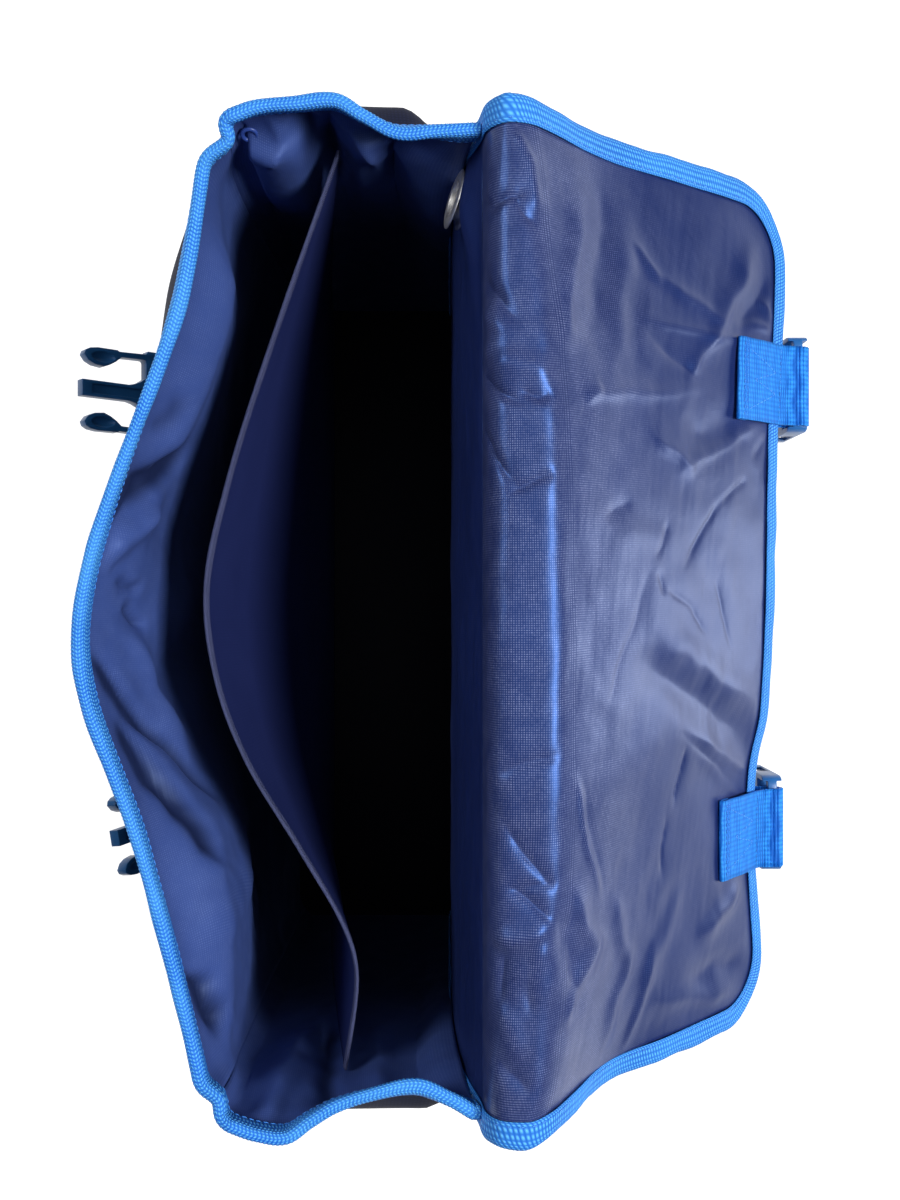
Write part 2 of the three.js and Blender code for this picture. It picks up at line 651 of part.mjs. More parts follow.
// The strap is sewn up the front wall, then stands out and turns back round the plug's tail bar.
function strapGrid(strap) {
  const { root, sideways, tipwards, faceUp } = plugFrame(strap);
  const lift = wall.girdle / 2 + strapClearance + webbing.thickness / 2;
  const columns = steps(-webbing.width / 2, webbing.width / 2, 4);
  const share = (z) => (z - footZ) / (frontRim.height - footZ);
  const sewn = steps(strap.sewnFrom, strap.sewnTo, 6).map((z) => columns.map((offset) => {
    const spot = frontPoint(strap.across + offset, share(z));
    return spot.add(new Vector3(0, -lift, 0));
  }));
  const barMiddle = plug.tail + plug.tailBar / 2;
  const turnRadius = plug.tailBar / 2 + loopSlack + webbing.thickness / 2;
  const overBar = plug.thickness / 2 + loopSlack + webbing.thickness / 2;
  const local = (along, height) => columns.map((offset) => root.clone()
    .addScaledVector(sideways, offset).addScaledVector(tipwards, along).addScaledVector(faceUp, height));
  const under = local(barMiddle - 8, overBar);
  const bend = sewn.at(-1).map((from, c) => {
    const to = under[c];
    const rise = (to.z - from.z) * 0.7;
    return new THREE.QuadraticBezierCurve3(from, new Vector3(from.x, from.y - 2, from.z + rise), to);
  });
  const free = steps(0, 1, 6).slice(1).map((at) => bend.map((curve) => curve.getPoint(at)));
  const round = steps(Math.PI / 2, -Math.PI / 2, 6).map((angle) => local(
    barMiddle + turnRadius * Math.cos(angle), overBar * Math.sin(angle)));
  const back = [-3, -7].map((along) => local(barMiddle + along, -overBar));
  return [...sewn, ...free, ...round, ...back];
}

function addPlugsAndStraps() {
  for (const strap of straps) {
    const { root, sideways, tipwards, faceUp } = plugFrame(strap);
    const mesh = add(`buckle_plug_${strap.side}`, plugGeometry(), "plastic");
    mesh.position.copy(root);
    mesh.quaternion.setFromRotationMatrix(new THREE.Matrix4().makeBasis(sideways, tipwards, faceUp));
    add(`strap_${strap.side}`, sheet(strapGrid(strap), webbing.thickness), "webbing");
  }
}

// The socket half of a buckle hangs from its bar: a slotted frame over a hollow body, open below.
function socketGeometry() {
  const s = socket;
  const top = s.bar / 2;
  const bottom = top - s.bar - s.slot - s.body;
  const outline = new Shape();
  outline.moveTo(-s.halfWidth, bottom);
  outline.lineTo(s.halfWidth, bottom);
  outline.lineTo(s.halfWidth, top - s.corner);
  outline.quadraticCurveTo(s.halfWidth, top, s.halfWidth - s.corner, top);
  outline.lineTo(-s.halfWidth + s.corner, top);
  outline.quadraticCurveTo(-s.halfWidth, top, -s.halfWidth, top - s.corner);
  outline.closePath();
  const slot = new Path();
  const slotTop = top - s.bar;
  slot.moveTo(-s.slotHalfWidth, slotTop);
  slot.lineTo(s.slotHalfWidth, slotTop);
  slot.lineTo(s.slotHalfWidth, slotTop - s.slot);
  slot.lineTo(-s.slotHalfWidth, slotTop - s.slot);
  slot.closePath();
  outline.holes.push(slot);
  const block = new THREE.ExtrudeGeometry(outline, { depth: s.thickness, bevelEnabled: false, curveSegments: 4 });
  block.translate(0, 0, -s.thickness / 2);
  const mouth = new THREE.BoxGeometry(2 * s.cavityHalfWidth, 2 * s.cavityDepth, s.cavityThickness);
  mouth.translate(0, bottom, 0);
  const windows = new THREE.BoxGeometry(4 * s.halfWidth, s.window, s.cavityThickness);
  windows.translate(0, bottom + s.windowFrom + s.window / 2, 0);
  const thinning = (s.thickness - s.bar) / 2;
  const besideBar = [-1, 1].map((side) => {
    const cut = new THREE.BoxGeometry(2 * s.slotHalfWidth, 2 * (s.bar + s.slot), thinning);
    return toSolid(cut.translate(0, top, side * (s.bar + thinning) / 2));
  });
  return fromSolid([toSolid(mouth), toSolid(windows), ...besideBar].reduce(
    (solid, cut) => solid.subtract(cut), toSolid(block)));
}

// A webbing tab is sewn to the lining, runs over the flap's edge, round the socket's bar and back
// along the flap's outer side.
function tabFrame(across) {
  const edge = clothPoint(across, 1);
  const bar = edge.clone().add(new Vector3(0, tab.reachOut, -tab.drop));
  return { edge, bar };
}

function tabGrid(across) {
  const { bar } = tabFrame(across);
  const columns = steps(-webbing.width / 2, webbing.width / 2, 4);
  const lift = wall.back / 2 + tapeSpace.flap + gap + tape.thickness + webbing.thickness / 2;
  const onFlap = (distance, side, height = lift) => columns.map((offset) => {
    const spot = [across + offset, alongFromEdge(distance)];
    return clothPoint(...spot).addScaledVector(clothNormal(...spot), side * height);
  });
  const lining = clothNormal(across, 0.9).z > 0 ? 1 : -1;
  const low = wall.back / 2 + strapClearance + webbing.thickness / 2;
  const turnRadius = socket.bar / 2 + loopSlack + webbing.thickness / 2;
  const round = steps(Math.PI * 0.62, -Math.PI * 0.62, 9).map((angle) => columns.map((offset) => new Vector3(
    bar.x + offset, bar.y + turnRadius * Math.cos(angle), bar.z + turnRadius * Math.sin(angle))));
  const inner = [tab.sewn, 26, 18].map((distance, i) => onFlap(distance, lining, i < 2 ? low : lift));
  const outer = [18, 26, tab.sewn].map((distance, i) => onFlap(distance, -lining, i > 0 ? low : lift));
  return [
    ...inner, onFlap(9, lining), onFlap(1, lining, lift + 0.5), ...round,
    onFlap(1, -lining, lift + 2.4), onFlap(9, -lining, lift + 0.6), ...outer,
  ];
}

function addTabsAndSockets() {
  tab.across.forEach((across) => {
    const side = across < 0 ? "left" : "right";
    const { bar } = tabFrame(across);
    add(`flap_tab_${side}`, sheet(tabGrid(across), webbing.thickness), "webbing");
    const mesh = add(`buckle_socket_${side}`, socketGeometry(), "plastic");
    mesh.position.copy(bar);
    mesh.position.x += socket.shift;
    mesh.rotation.x = Math.PI / 2;
  });
}

addBase();
addGirdle();
addBackAndFlap();
addFlapBinding();
addDivider();
addEyelet();
addRivet();
addPlugsAndStraps();
addTabsAndSockets();

export default bag;
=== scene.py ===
import math
import bmesh
import bpy
from mathutils import Matrix, Vector, noise


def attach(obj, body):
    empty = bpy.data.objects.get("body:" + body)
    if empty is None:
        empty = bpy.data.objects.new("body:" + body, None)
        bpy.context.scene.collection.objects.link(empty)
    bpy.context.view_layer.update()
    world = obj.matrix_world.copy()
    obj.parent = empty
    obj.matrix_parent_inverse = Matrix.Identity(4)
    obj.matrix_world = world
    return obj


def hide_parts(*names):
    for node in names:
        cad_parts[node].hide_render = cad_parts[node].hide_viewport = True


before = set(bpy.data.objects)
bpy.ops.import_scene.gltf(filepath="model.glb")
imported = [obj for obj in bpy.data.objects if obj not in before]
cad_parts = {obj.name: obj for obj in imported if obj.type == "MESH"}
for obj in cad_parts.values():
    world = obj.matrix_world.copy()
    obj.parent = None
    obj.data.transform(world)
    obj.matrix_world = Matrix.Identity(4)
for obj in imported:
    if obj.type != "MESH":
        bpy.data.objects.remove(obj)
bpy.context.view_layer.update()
mm = 0.001
noise.seed_set(7)  # the same creases in every run
print("frame loaded,", len(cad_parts), "nodes")


def addObject(name, data):
    added = bpy.data.objects.new(name, data)
    bpy.context.scene.collection.objects.link(added)
    return added


def meshOf(name, bm):
    mesh = bpy.data.meshes.new(name)
    bm.to_mesh(mesh)
    bm.free()
    return mesh


# camera straight above the open bag; the picture's left is the bag's front
photoCamera = {"x": -8.4, "y": 46, "height": 748, "focalPixels": 1167, "imagePixels": 1200, "sensor": 36}
cameraData = bpy.data.cameras.new("photo_camera")
cameraData.sensor_width = photoCamera["sensor"]
cameraData.lens = photoCamera["sensor"] * photoCamera["focalPixels"] / photoCamera["imagePixels"]
cameraData.clip_start = 0.01
cameraPiece = addObject("photo_camera", cameraData)
cameraPiece.location = [photoCamera[side] * mm for side in ("x", "y", "height")]
cameraPiece.rotation_euler = (0, 0, math.pi / 2)
bpy.context.scene.camera = cameraPiece


# small sums

def mix(low, high, share):
    return low + (high - low) * share


def smoothStep(value, low, high):
    share = min(max((value - low) / (high - low), 0), 1)
    return share * share * (3 - 2 * share)


def bell(distance, spread):
    return math.exp(-(distance / spread) ** 2)


def swells(x, y, layers):
    # each layer: its height, the size of its waves along x and along y, and its seed
    return sum(height * noise.noise(Vector((x / wide, y / tall, seed))) for height, wide, tall, seed in layers)


def readTable(rows, column, at):
    # smooth curve through the rows, read at a place in the first column
    i = next((k for k, row in enumerate(rows) if row[0] >= at), len(rows) - 1)
    i = max(i, 1)
    low, high = rows[i - 1], rows[i]
    run = high[0] - low[0]
    share = min(max((at - low[0]) / run, 0), 1)

    def slope(k):
        a, b = rows[max(k - 1, 0)], rows[min(k + 1, len(rows) - 1)]
        return (b[column] - a[column]) / (b[0] - a[0])

    square, cube = share ** 2, share ** 3
    return ((2 * cube - 3 * square + 1) * low[column] + (cube - 2 * square + share) * run * slope(i - 1)
            + (3 * square - 2 * cube) * high[column] + (cube - square) * run * slope(i))


def curveAt(points, share):
    # centripetal curve through a few points
    last = len(points) - 1
    i = min(int(last * share), last - 1)
    weight = last * share - i
    p1, p2 = points[i], points[i + 1]
    p0 = points[i - 1] if i > 0 else 2 * p1 - p2
    p3 = points[i + 2] if i + 2 <= last else 2 * p2 - p1
    d0, d1, d2 = ((b - a).length ** 0.5 for a, b in ((p0, p1), (p1, p2), (p2, p3)))
    t1 = ((p1 - p0) / d0 - (p2 - p0) / (d0 + d1) + (p2 - p1) / d1) * d1
    t2 = ((p2 - p1) / d1 - (p3 - p1) / (d1 + d2) + (p3 - p2) / d2) * d1
    return (p1 + t1 * weight + (3 * (p2 - p1) - 2 * t1 - t2) * weight ** 2
            + (2 * (p1 - p2) + t1 + t2) * weight ** 3)


def evenPlaces(line, count):
    # cuts a line of points into equal lengths: the point before each cut, and the share of the way to the next
    runs = [0]
    for a, b in zip(line, line[1:]):
        runs.append(runs[-1] + (b - a).length)
    places, k = [], 0
    for step in range(count + 1):
        at = runs[-1] * step / count
        while k < len(line) - 2 and runs[k + 1] < at:
            k += 1
        places.append((k, (at - runs[k]) / max(runs[k + 1] - runs[k], 1e-9)))
    return places, runs[-1]


def evenPath(points, count, dense=40):
    steps = (len(points) - 1) * dense
    line = [curveAt(points, k / steps) for k in range(steps + 1)]
    places, length = evenPlaces(line, count)
    return [line[k].lerp(line[k + 1], share) for k, share in places], length


# the bag's shape, in millimetres

footZ = 3.4
bagBase = {"halfLength": 194, "front": -51}
frontWall = {
    "rim": 282, "easing": 1.6, "inset": 14, "cut": 0.45,
    # across, y of the rim, belly under it
    "sections": [
        (-194, -51, 8), (-148, -57.4, 20), (-118, -64.4, 20), (-58, -86.8, 8), (-28, -97, 2), (6, -102.5, 0),
        (32, -99.4, 0), (62, -88.2, 1), (91, -77.8, 2), (151, -61.6, 4), (194, -51.5, 2)],
    # across, width, depth and slant of the soft folds
    "folds": [(-40, 14, 3.2, -0.35), (34, 16, 3.6, 0.4), (82, 14, 2.6, 0.35), (138, 9, 2.2, 0.2)],
}
gussetRim = {"height": 291, "fold": 28, "back": 55, "front": -40, "backFoot": 44.1, "easing": 7}
leftGusset = {
    "sign": -1, "bulge": 18, "fade": 26,
    "rim": [(-40, 4), (-30, 7.5), (-15, 9), (1, 10), (12, 4), (25, -2.5), (40, -2), (55, -1.5)],  # y, out
}
rightGusset = {
    "sign": 1, "bulge": 7.5, "fade": 16,
    "rim": [(-40, 3.5), (-30, 7), (-18, 8), (-9, 2), (1, -4), (16, -9), (33, -12), (46, -7), (55, -2)],
}
girdleRuns = {"gusset": 97, "corner": 22, "front": 385}
girdleLength = 2 * girdleRuns["gusset"] + 2 * girdleRuns["corner"] + girdleRuns["front"]
cornerSeams = (girdleRuns["gusset"] + girdleRuns["corner"] / 2,
               girdleLength - girdleRuns["gusset"] - girdleRuns["corner"] / 2)


def frontAt(across, share):
    height = mix(footZ, frontWall["rim"], share)
    wave = math.sin(math.pi * share ** 2)
    rimY, belly = (readTable(frontWall["sections"], k, across) for k in (1, 2))
    y = bagBase["front"] + (rimY - bagBase["front"]) * (1 - (1 - share) ** frontWall["easing"]) - belly * wave
    for place, width, depth, slant in frontWall["folds"]:
        y += depth * bell(across - place - slant * (height - frontWall["rim"]), width) * wave
    return Vector((across, y, height))


def gussetAt(gusset, y, share):
    height = mix(footZ, gussetRim["height"], share)
    footY = mix(bagBase["front"], gussetRim["backFoot"],
                (y - bagBase["front"]) / (gussetRim["back"] - bagBase["front"]))
    body = gusset["bulge"] * smoothStep(gussetRim["back"] - y, 0, gusset["fade"])
    body *= math.sin(math.pi / 2 * min(share / 0.8, 1))
    nearRim = smoothStep(height, gussetRim["height"] - gussetRim["fold"], gussetRim["height"])
    out = mix(body, readTable(gusset["rim"], 1, y), nearRim)
    return Vector((gusset["sign"] * (bagBase["halfLength"] + out),
                   mix(footY, y, share ** gussetRim["easing"]), height))


def cornerAt(gusset, turn, share):
    start = gussetAt(gusset, gussetRim["front"], share)
    end = frontAt(gusset["sign"] * (bagBase["halfLength"] - frontWall["inset"]), share)
    middle = (start + end) / 2
    bend = Vector((start.x, end.y, middle.z)).lerp(middle, frontWall["cut"])
    return start * (1 - turn) ** 2 + bend * 2 * turn * (1 - turn) + end * turn ** 2


# run, width, and how far the rim is drawn in, x and y
rimPinches = [(108, 5.5, (1.5, 6)), (515, 5, (-2, 3.5))]


def girdleAt(run, share):
    point = girdleShape(run, share)
    nearRim = smoothStep(share, 0.82, 1)
    for at, width, (inX, inY) in rimPinches:
        drawn = bell(run - at, width) * nearRim
        point += Vector((inX * drawn, inY * drawn, 0))
    return point


def girdleShape(run, share):
    # once round the open side of the bag: left gusset, front, right gusset
    gusset, corner, front = girdleRuns["gusset"], girdleRuns["corner"], girdleRuns["front"]
    half = bagBase["halfLength"] - frontWall["inset"]
    if run <= gusset:
        return gussetAt(leftGusset, mix(gussetRim["back"], gussetRim["front"], run / gusset), share)
    if run <= gusset + corner:
        return cornerAt(leftGusset, (run - gusset) / corner, share)
    if run <= gusset + corner + front:
        return frontAt(mix(-half, half, (run - gusset - corner) / front), share)
    run -= gusset + corner + front
    if run <= corner:
        return cornerAt(rightGusset, 1 - run / corner, share)
    return gussetAt(rightGusset, mix(gussetRim["front"], gussetRim["back"], (run - corner) / gusset), share)


backWall = {"foot": 48, "lean": 12, "easing": 7, "top": 286, "halfWidth": 198, "thick": 2.4}
flapShape = {
    "corner": 32, "skew": -4.5, "slope": 155, "spine": 50, "shoulder": 297, "top": 304,
    # across, ridge, edge y, edge z, sag
    "sections": [
        (-198, 70, 205, 181, 12), (-150, 76, 205.5, 182, 7), (-85, 83, 202, 182, 2), (0, 86, 200.5, 181, -2),
        (50, 86, 198, 180, -2), (80, 86, 192.5, 178, 0), (120, 84, 193, 175, 4), (165, 80, 197, 171, 14),
        (198, 75, 199, 168, 24)],
}
backShares = (0, 0.3, 0.55, 0.72, 0.82, 0.88, 0.94, 1)
slopeShares = (0.25, 0.5, 0.75, 1)
seamAt, ridgeAt, slopeAt = 7 / 16, 11 / 16, 12 / 16
sectionsMade = {}


def backFace(z):
    return backWall["foot"] + backWall["lean"] * (z / backWall["top"]) ** backWall["easing"]


def clothSection(across):
    key = round(across, 2)
    if key not in sectionsMade:
        ridge, edgeY, edgeZ, sag = (readTable(flapShape["sections"], k, across) for k in (1, 2, 3, 4))
        top = backFace(backWall["top"])
        heights = [mix(footZ, backWall["top"], share) for share in backShares]
        spots = [(backFace(z), z) for z in heights]
        spots += [(top + 2, flapShape["shoulder"]), (top + 6, flapShape["top"] - 1.5),
                  (mix(top + 6, ridge, 0.5), flapShape["top"]), (ridge, flapShape["top"] - 0.5),
                  (ridge + 7, flapShape["top"] - 6)]
        for share in slopeShares:
            dip = math.sin(math.pi * math.sqrt(share)) * (1 - share)
            spots.append((mix(ridge + 7, edgeY, share), mix(flapShape["top"] - 6, edgeZ, share) - sag * dip))
        sectionsMade[key] = [Vector((across, y, z)) for y, z in spots]
    return sectionsMade[key]


def clothAt(across, along):
    point = curveAt(clothSection(across), min(max(along, 0), 1))
    point.x += flapShape["skew"] * max(0, (along - ridgeAt) / (1 - ridgeAt))
    return point


def clothNormal(across, along):
    wide = clothAt(across + 2, along) - clothAt(across - 2, along)
    return wide.cross(clothAt(across, min(along + 0.004, 1)) - clothAt(across, max(along - 0.004, 0))).normalized()


def fromEdge(distance):
    return 1 - (1 - slopeAt) * distance / flapShape["slope"]


def flapRow(run):
    # how far along the cloth and how wide it is, some way down from the back seam
    spine, slope, corner = flapShape["spine"], flapShape["slope"], flapShape["corner"]
    if run <= spine:
        return mix(seamAt, slopeAt, run / spine), backWall["halfWidth"], run
    if run <= spine + slope - corner:
        return fromEdge(spine + slope - run), backWall["halfWidth"], run
    turn = (run - spine - slope + corner) / corner * math.pi / 2
    distance = corner * (1 - math.sin(turn))
    return fromEdge(distance), backWall["halfWidth"] - corner * (1 - math.cos(turn)), spine + slope - distance


dividerShape = {
    "height": 245, "footY": -28, "footHalfLength": 190, "easing": 1.3, "thick": 0.9,
    "top": [(-202, -2), (-108, -35), (-56, -51), (-13, -59.5), (26, -55), (61, -42), (99, -19), (134, 1),
            (155, 6), (194, 1)],
}


def dividerAt(share, rise):
    top = dividerShape["top"]
    topAcross = mix(top[0][0], top[-1][0], share)
    foot = dividerShape["footHalfLength"]
    return Vector((mix(mix(-foot, foot, share), topAcross, rise ** 2),
                   mix(dividerShape["footY"], readTable(top, 1, topAcross), rise ** dividerShape["easing"]),
                   mix(footZ, dividerShape["height"], rise)))


print("shape functions ready")


# finishes

def colour(hexText):
    channels = [int(hexText[k:k + 2], 16) / 255 for k in (1, 3, 5)]
    return [c / 12.92 if c <= 0.04045 else ((c + 0.055) / 1.055) ** 2.4 for c in channels] + [1]


def addNode(tree, kind, inputs=None, out=0, **settings):
    # gives one output of the new node
    node = tree.nodes.new("ShaderNode" + kind)
    for name, value in settings.items():
        setattr(node, name, value)
    for socket, value in (inputs or {}).items():
        if isinstance(value, bpy.types.NodeSocket):
            tree.links.new(value, node.inputs[socket])
        else:
            node.inputs[socket].default_value = value
    return node.outputs[out]


def newFinish(name, **constants):
    finish = bpy.data.materials.new(name)
    finish.use_nodes = True
    shader = finish.node_tree.nodes["Principled BSDF"]
    for socket, value in constants.items():
        shader.inputs[socket.replace("_", " ")].default_value = value
    return finish, finish.node_tree, shader


def waveScale(pitch):
    return 2 * math.pi / 20 / (pitch * mm)  # a wave texture repeats every 2 pi / 20 of its own units


def cellScale(size):
    return 1 / (size * mm)


def joinShader(tree, shader, **sources):
    for socket, source in sources.items():
        tree.links.new(source, shader.inputs[socket.replace("_", " ")])


clothNoise = {
    "dash": {"Detail": 1}, "patch": {"Detail": 3}, "ripple": {"Detail": 2, "Distortion": 0.4},
    "crinkle": {"Detail": 3, "Roughness": 0.45, "Distortion": 0.5}, "shade": {"Detail": 4, "Roughness": 0.6},
}
# colour of the painted shade in the cloth's hollows
hollowNavy = "#0b1029"


def wovenCloth(name, look, **constants):
    # plain weave on the piece's own UV: painted glints where threads cross, soft shade changes at random, painted shade
    # in hollows, crinkles and ripples
    finish, tree, shader = newFinish(name, **constants)
    uv = addNode(tree, "UVMap", uv_map="weave")
    weft, warp = (addNode(tree, "TexWave", {"Vector": uv, "Scale": waveScale(look["pitch"])},
                          bands_direction=direction, out="Fac") for direction in "XY")
    woven = addNode(tree, "Math", {0: warp, 1: weft}, operation="MULTIPLY")
    noises = {kind: addNode(tree, "TexNoise", {"Vector": uv, "Scale": cellScale(look[kind]), **inputs},
                            noise_type="RIDGED_MULTIFRACTAL" if kind == "crinkle" else "FBM")
              for kind, inputs in clothNoise.items()}
    patches = addNode(tree, "MapRange", {
        "Value": noises["patch"], "From Min": 0.35, "From Max": 0.65, "To Min": look["glintShare"] / 2,
        "To Max": look["glintShare"]})
    factors = [noises["dash"], patches]
    # painted glints can fade down the cloth, from the spine where light catches them
    if "glintFade" in look:  # from, to and what is left, down the cloth
        along = addNode(tree, "SeparateXYZ", {0: uv}, out="Y")
        low, high, left = look["glintFade"]
        factors.append(addNode(tree, "MapRange", {
            "Value": along, "From Min": low * mm, "From Max": high * mm, "To Min": 1, "To Max": left}))
    paintedGlints = woven
    for factor in factors:
        paintedGlints = addNode(tree, "Math", {0: paintedGlints, 1: factor}, operation="MULTIPLY")
    # painted shade: the colour is mixed towards deep navy where the mesh marks hollows
    hollow = addNode(tree, "Attribute", attribute_name="hollow", out="Fac")
    body = colour(look["deep"])
    for factor, over in ((noises["shade"], look["light"]), (paintedGlints, look["paintedGlint"]), (hollow, hollowNavy)):
        body = addNode(tree, "Mix", {"Factor": factor, "A": body, "B": colour(over)}, data_type="RGBA", out="Result")
    gloss = addNode(tree, "MapRange", {
        "Value": noises["shade"], "From Min": 0.3, "From Max": 0.7, "To Min": look["gloss"][0],
        "To Max": look["gloss"][1]})
    under = {}
    for kind, height in (("ripple", noises["ripple"]), ("crinkle", noises["crinkle"]), ("thread", woven)):
        strength, depth = look[kind + "Bump"]
        under = {"Normal": addNode(tree, "Bump", {
            "Height": height, "Strength": strength, "Distance": depth * mm, **under})}
    joinShader(tree, shader, Base_Color=body, Roughness=gloss, **under)
    return finish


# nylon taffeta lining, calendered: silky, so its folds show as pale streaks on deep navy.
# Its 0.25 mm threads are drawn at 0.9 mm so that the weave shows.
# this copy, on the front wall and gussets, is painted lighter than the flap's to stand in for the light on them
paintedLighterLining = wovenCloth("navy_nylon_taffeta", {
    "pitch": 0.9, "dash": 1.3, "patch": 9, "ripple": 9, "crinkle": 34, "shade": 60, "deep": "#2b3c72",
    "light": "#3a5192", "paintedGlint": "#a4b8ee", "glintShare": 0.3, "gloss": (0.42, 0.52), "rippleBump": (0.3, 0.5),
    "crinkleBump": (0.7, 2.2), "threadBump": (0.15, 0.05),
}, Specular_Tint=colour("#9ab4f4"), Specular_IOR_Level=0.7, Sheen_Weight=0.08, Sheen_Roughness=0.4,
    Sheen_Tint=colour("#7f9cff"), IOR=1.53)

# the same taffeta fused to the flap's stiffening, painted darker and flatter than the walls' copy for the light that
# falls there; its painted glints strongest over the spine, where light catches them
paintedDarkerLining = wovenCloth("navy_nylon_taffeta_painted_darker", {
    "pitch": 0.9, "dash": 1.3, "patch": 9, "ripple": 8, "crinkle": 30, "shade": 60, "deep": "#0e1b48",
    "light": "#15255a", "paintedGlint": "#b6c0ee", "glintShare": 0.7, "glintFade": (60, 120, 0.18), "gloss": (0.32, 0.4),
    "rippleBump": (0.2, 0.5), "crinkleBump": (0.5, 1.6), "threadBump": (0.2, 0.05),
}, Specular_Tint=colour("#74a6ff"), Specular_IOR_Level=0.6, Sheen_Weight=0.06, Sheen_Roughness=0.35,
    Sheen_Tint=colour("#6f8cff"), IOR=1.53)

# oxford nylon outside, coated behind: dull, dark, with a coarser basket weave drawn at 1.6 mm
outerOxford = wovenCloth("dark_oxford_nylon", {
    "pitch": 1.6, "dash": 2, "patch": 14, "ripple": 14, "crinkle": 60, "shade": 90, "deep": "#0e1226",
    "light": "#141932", "paintedGlint": "#2e3760", "glintShare": 0.5, "gloss": (0.55, 0.68), "rippleBump": (0.25, 0.5),
    "crinkleBump": (0.3, 2), "threadBump": (0.3, 0.1),
}, Specular_IOR_Level=0.05, IOR=1.53)

# the divider's cloth, coated on both sides: nearly black, flat, with little gloss
coatedLook = {
    "pitch": 1.3, "dash": 1.6, "patch": 12, "ripple": 18, "crinkle": 70, "shade": 80, "deep": "#18204a",
    "light": "#1f2856", "paintedGlint": "#363f78", "glintShare": 0.3, "gloss": (0.6, 0.7), "rippleBump": (0.2, 0.4),
    "crinkleBump": (0.15, 1.5), "threadBump": (0.2, 0.1),
}
coatedNylon = wovenCloth("black_navy_coated_nylon", coatedLook, Specular_IOR_Level=0.08, IOR=1.53)

# the board under the books: the same cloth, painted near black as painted shade for the bag's dark bottom
shadedBaseLook = {**coatedLook, "deep": "#05060d", "light": "#080a14", "paintedGlint": "#10142a"}
shadedBaseLining = wovenCloth("coated_nylon_painted_shade", shadedBaseLook, Specular_IOR_Level=0.05, IOR=1.53)


def ribbedWeave(name, look, **constants):
    # herringbone ribs across a woven tape; UV runs along it in metres
    finish, tree, shader = newFinish(name, **constants)
    uv = addNode(tree, "UVMap", uv_map="weave")
    along, across = (addNode(tree, "SeparateXYZ", {0: uv}, axis) for axis in "XY")
    zigzag = addNode(tree, "Math", {0: across, 1: look["rowWidth"] * mm}, operation="PINGPONG")
    zigzag = addNode(tree, "Math", {0: zigzag, 1: look["slant"], 2: along}, operation="MULTIPLY_ADD")
    slanted = addNode(tree, "CombineXYZ", {"X": zigzag, "Y": across})
    rib, bead = (addNode(tree, "TexWave", {"Vector": slanted, "Scale": waveScale(look[pitch])},
                         bands_direction=direction, out="Fac")
                 for pitch, direction in (("ribPitch", "X"), ("beadPitch", "Y")))
    bead = addNode(tree, "MapRange", {"Value": bead, "To Min": look["beadFloor"], "To Max": 1})
    height = addNode(tree, "Math", {0: rib, 1: bead}, operation="MULTIPLY")
    shade = addNode(tree, "TexNoise", {"Vector": uv, "Scale": cellScale(look["shade"]), "Detail": 3})
    wear = addNode(tree, "MapRange", {
        "Value": shade, "From Min": 0.35, "From Max": 0.7, "To Min": 0, "To Max": look["wear"]})
    body = colour(look["deep"])
    for factor, over in ((height, look["light"]), (wear, look["worn"])):
        body = addNode(tree, "Mix", {"Factor": factor, "A": body, "B": colour(over)}, data_type="RGBA", out="Result")
    bump = addNode(tree, "Bump", {"Height": height, "Strength": look["strength"], "Distance": look["depth"] * mm})
    joinShader(tree, shader, Base_Color=body, Normal=bump)
    return finish


# woven polypropylene binding tape: bright blue beads in a herringbone where it is folded over the rim, slightly waxy
bindingLook = {
    "ribPitch": 1.6, "beadPitch": 1.7, "rowWidth": 3.4, "slant": 0.35, "beadFloor": 0.15, "shade": 35, "wear": 0.3,
    "deep": "#0e5cc6", "light": "#6cc4ff", "worn": "#60bcff", "strength": 0.9, "depth": 0.35,
}
bindingTape = ribbedWeave("blue_woven_binding_tape", bindingLook, Roughness=0.65, IOR=1.49, Specular_IOR_Level=0.15)

# the same tape lying flat along the flap: its ribs closer and slanted
flatLook = {
    **bindingLook, "beadPitch": 1.5, "rowWidth": 60, "slant": 0.5, "wear": 0.25, "deep": "#0f58b8",
    "light": "#66beff", "worn": "#48a4f8", "depth": 0.3,
}
flatTape = ribbedWeave("blue_woven_binding_tape_flat", flatLook, Roughness=0.65, IOR=1.49, Specular_IOR_Level=0.15)

# polypropylene webbing: fine lines along it, and ribs across that stand up where it bends
webbingWeave = ribbedWeave("blue_polypropylene_webbing", {
    "ribPitch": 1.4, "beadPitch": 2.3, "rowWidth": 9, "slant": 0.05, "beadFloor": 0.45, "shade": 30, "wear": 0.2,
    "deep": "#0a55b4", "light": "#3498f0", "worn": "#2e92ea", "strength": 0.8, "depth": 0.3,
}, Roughness=0.6, IOR=1.49, Specular_IOR_Level=0.15)

# edging over the divider's top: fine pale stitches on dark tape
hemTwill = ribbedWeave("grey_navy_twill_tape", {
    "ribPitch": 1.2, "beadPitch": 1.0, "rowWidth": 40, "slant": 0.6, "beadFloor": 0.1, "shade": 30, "wear": 0.1,
    "deep": "#0a0d20", "light": "#747cae", "worn": "#5a6090", "strength": 0.6, "depth": 0.2,
}, Roughness=0.6, IOR=1.5, Specular_IOR_Level=0.1)

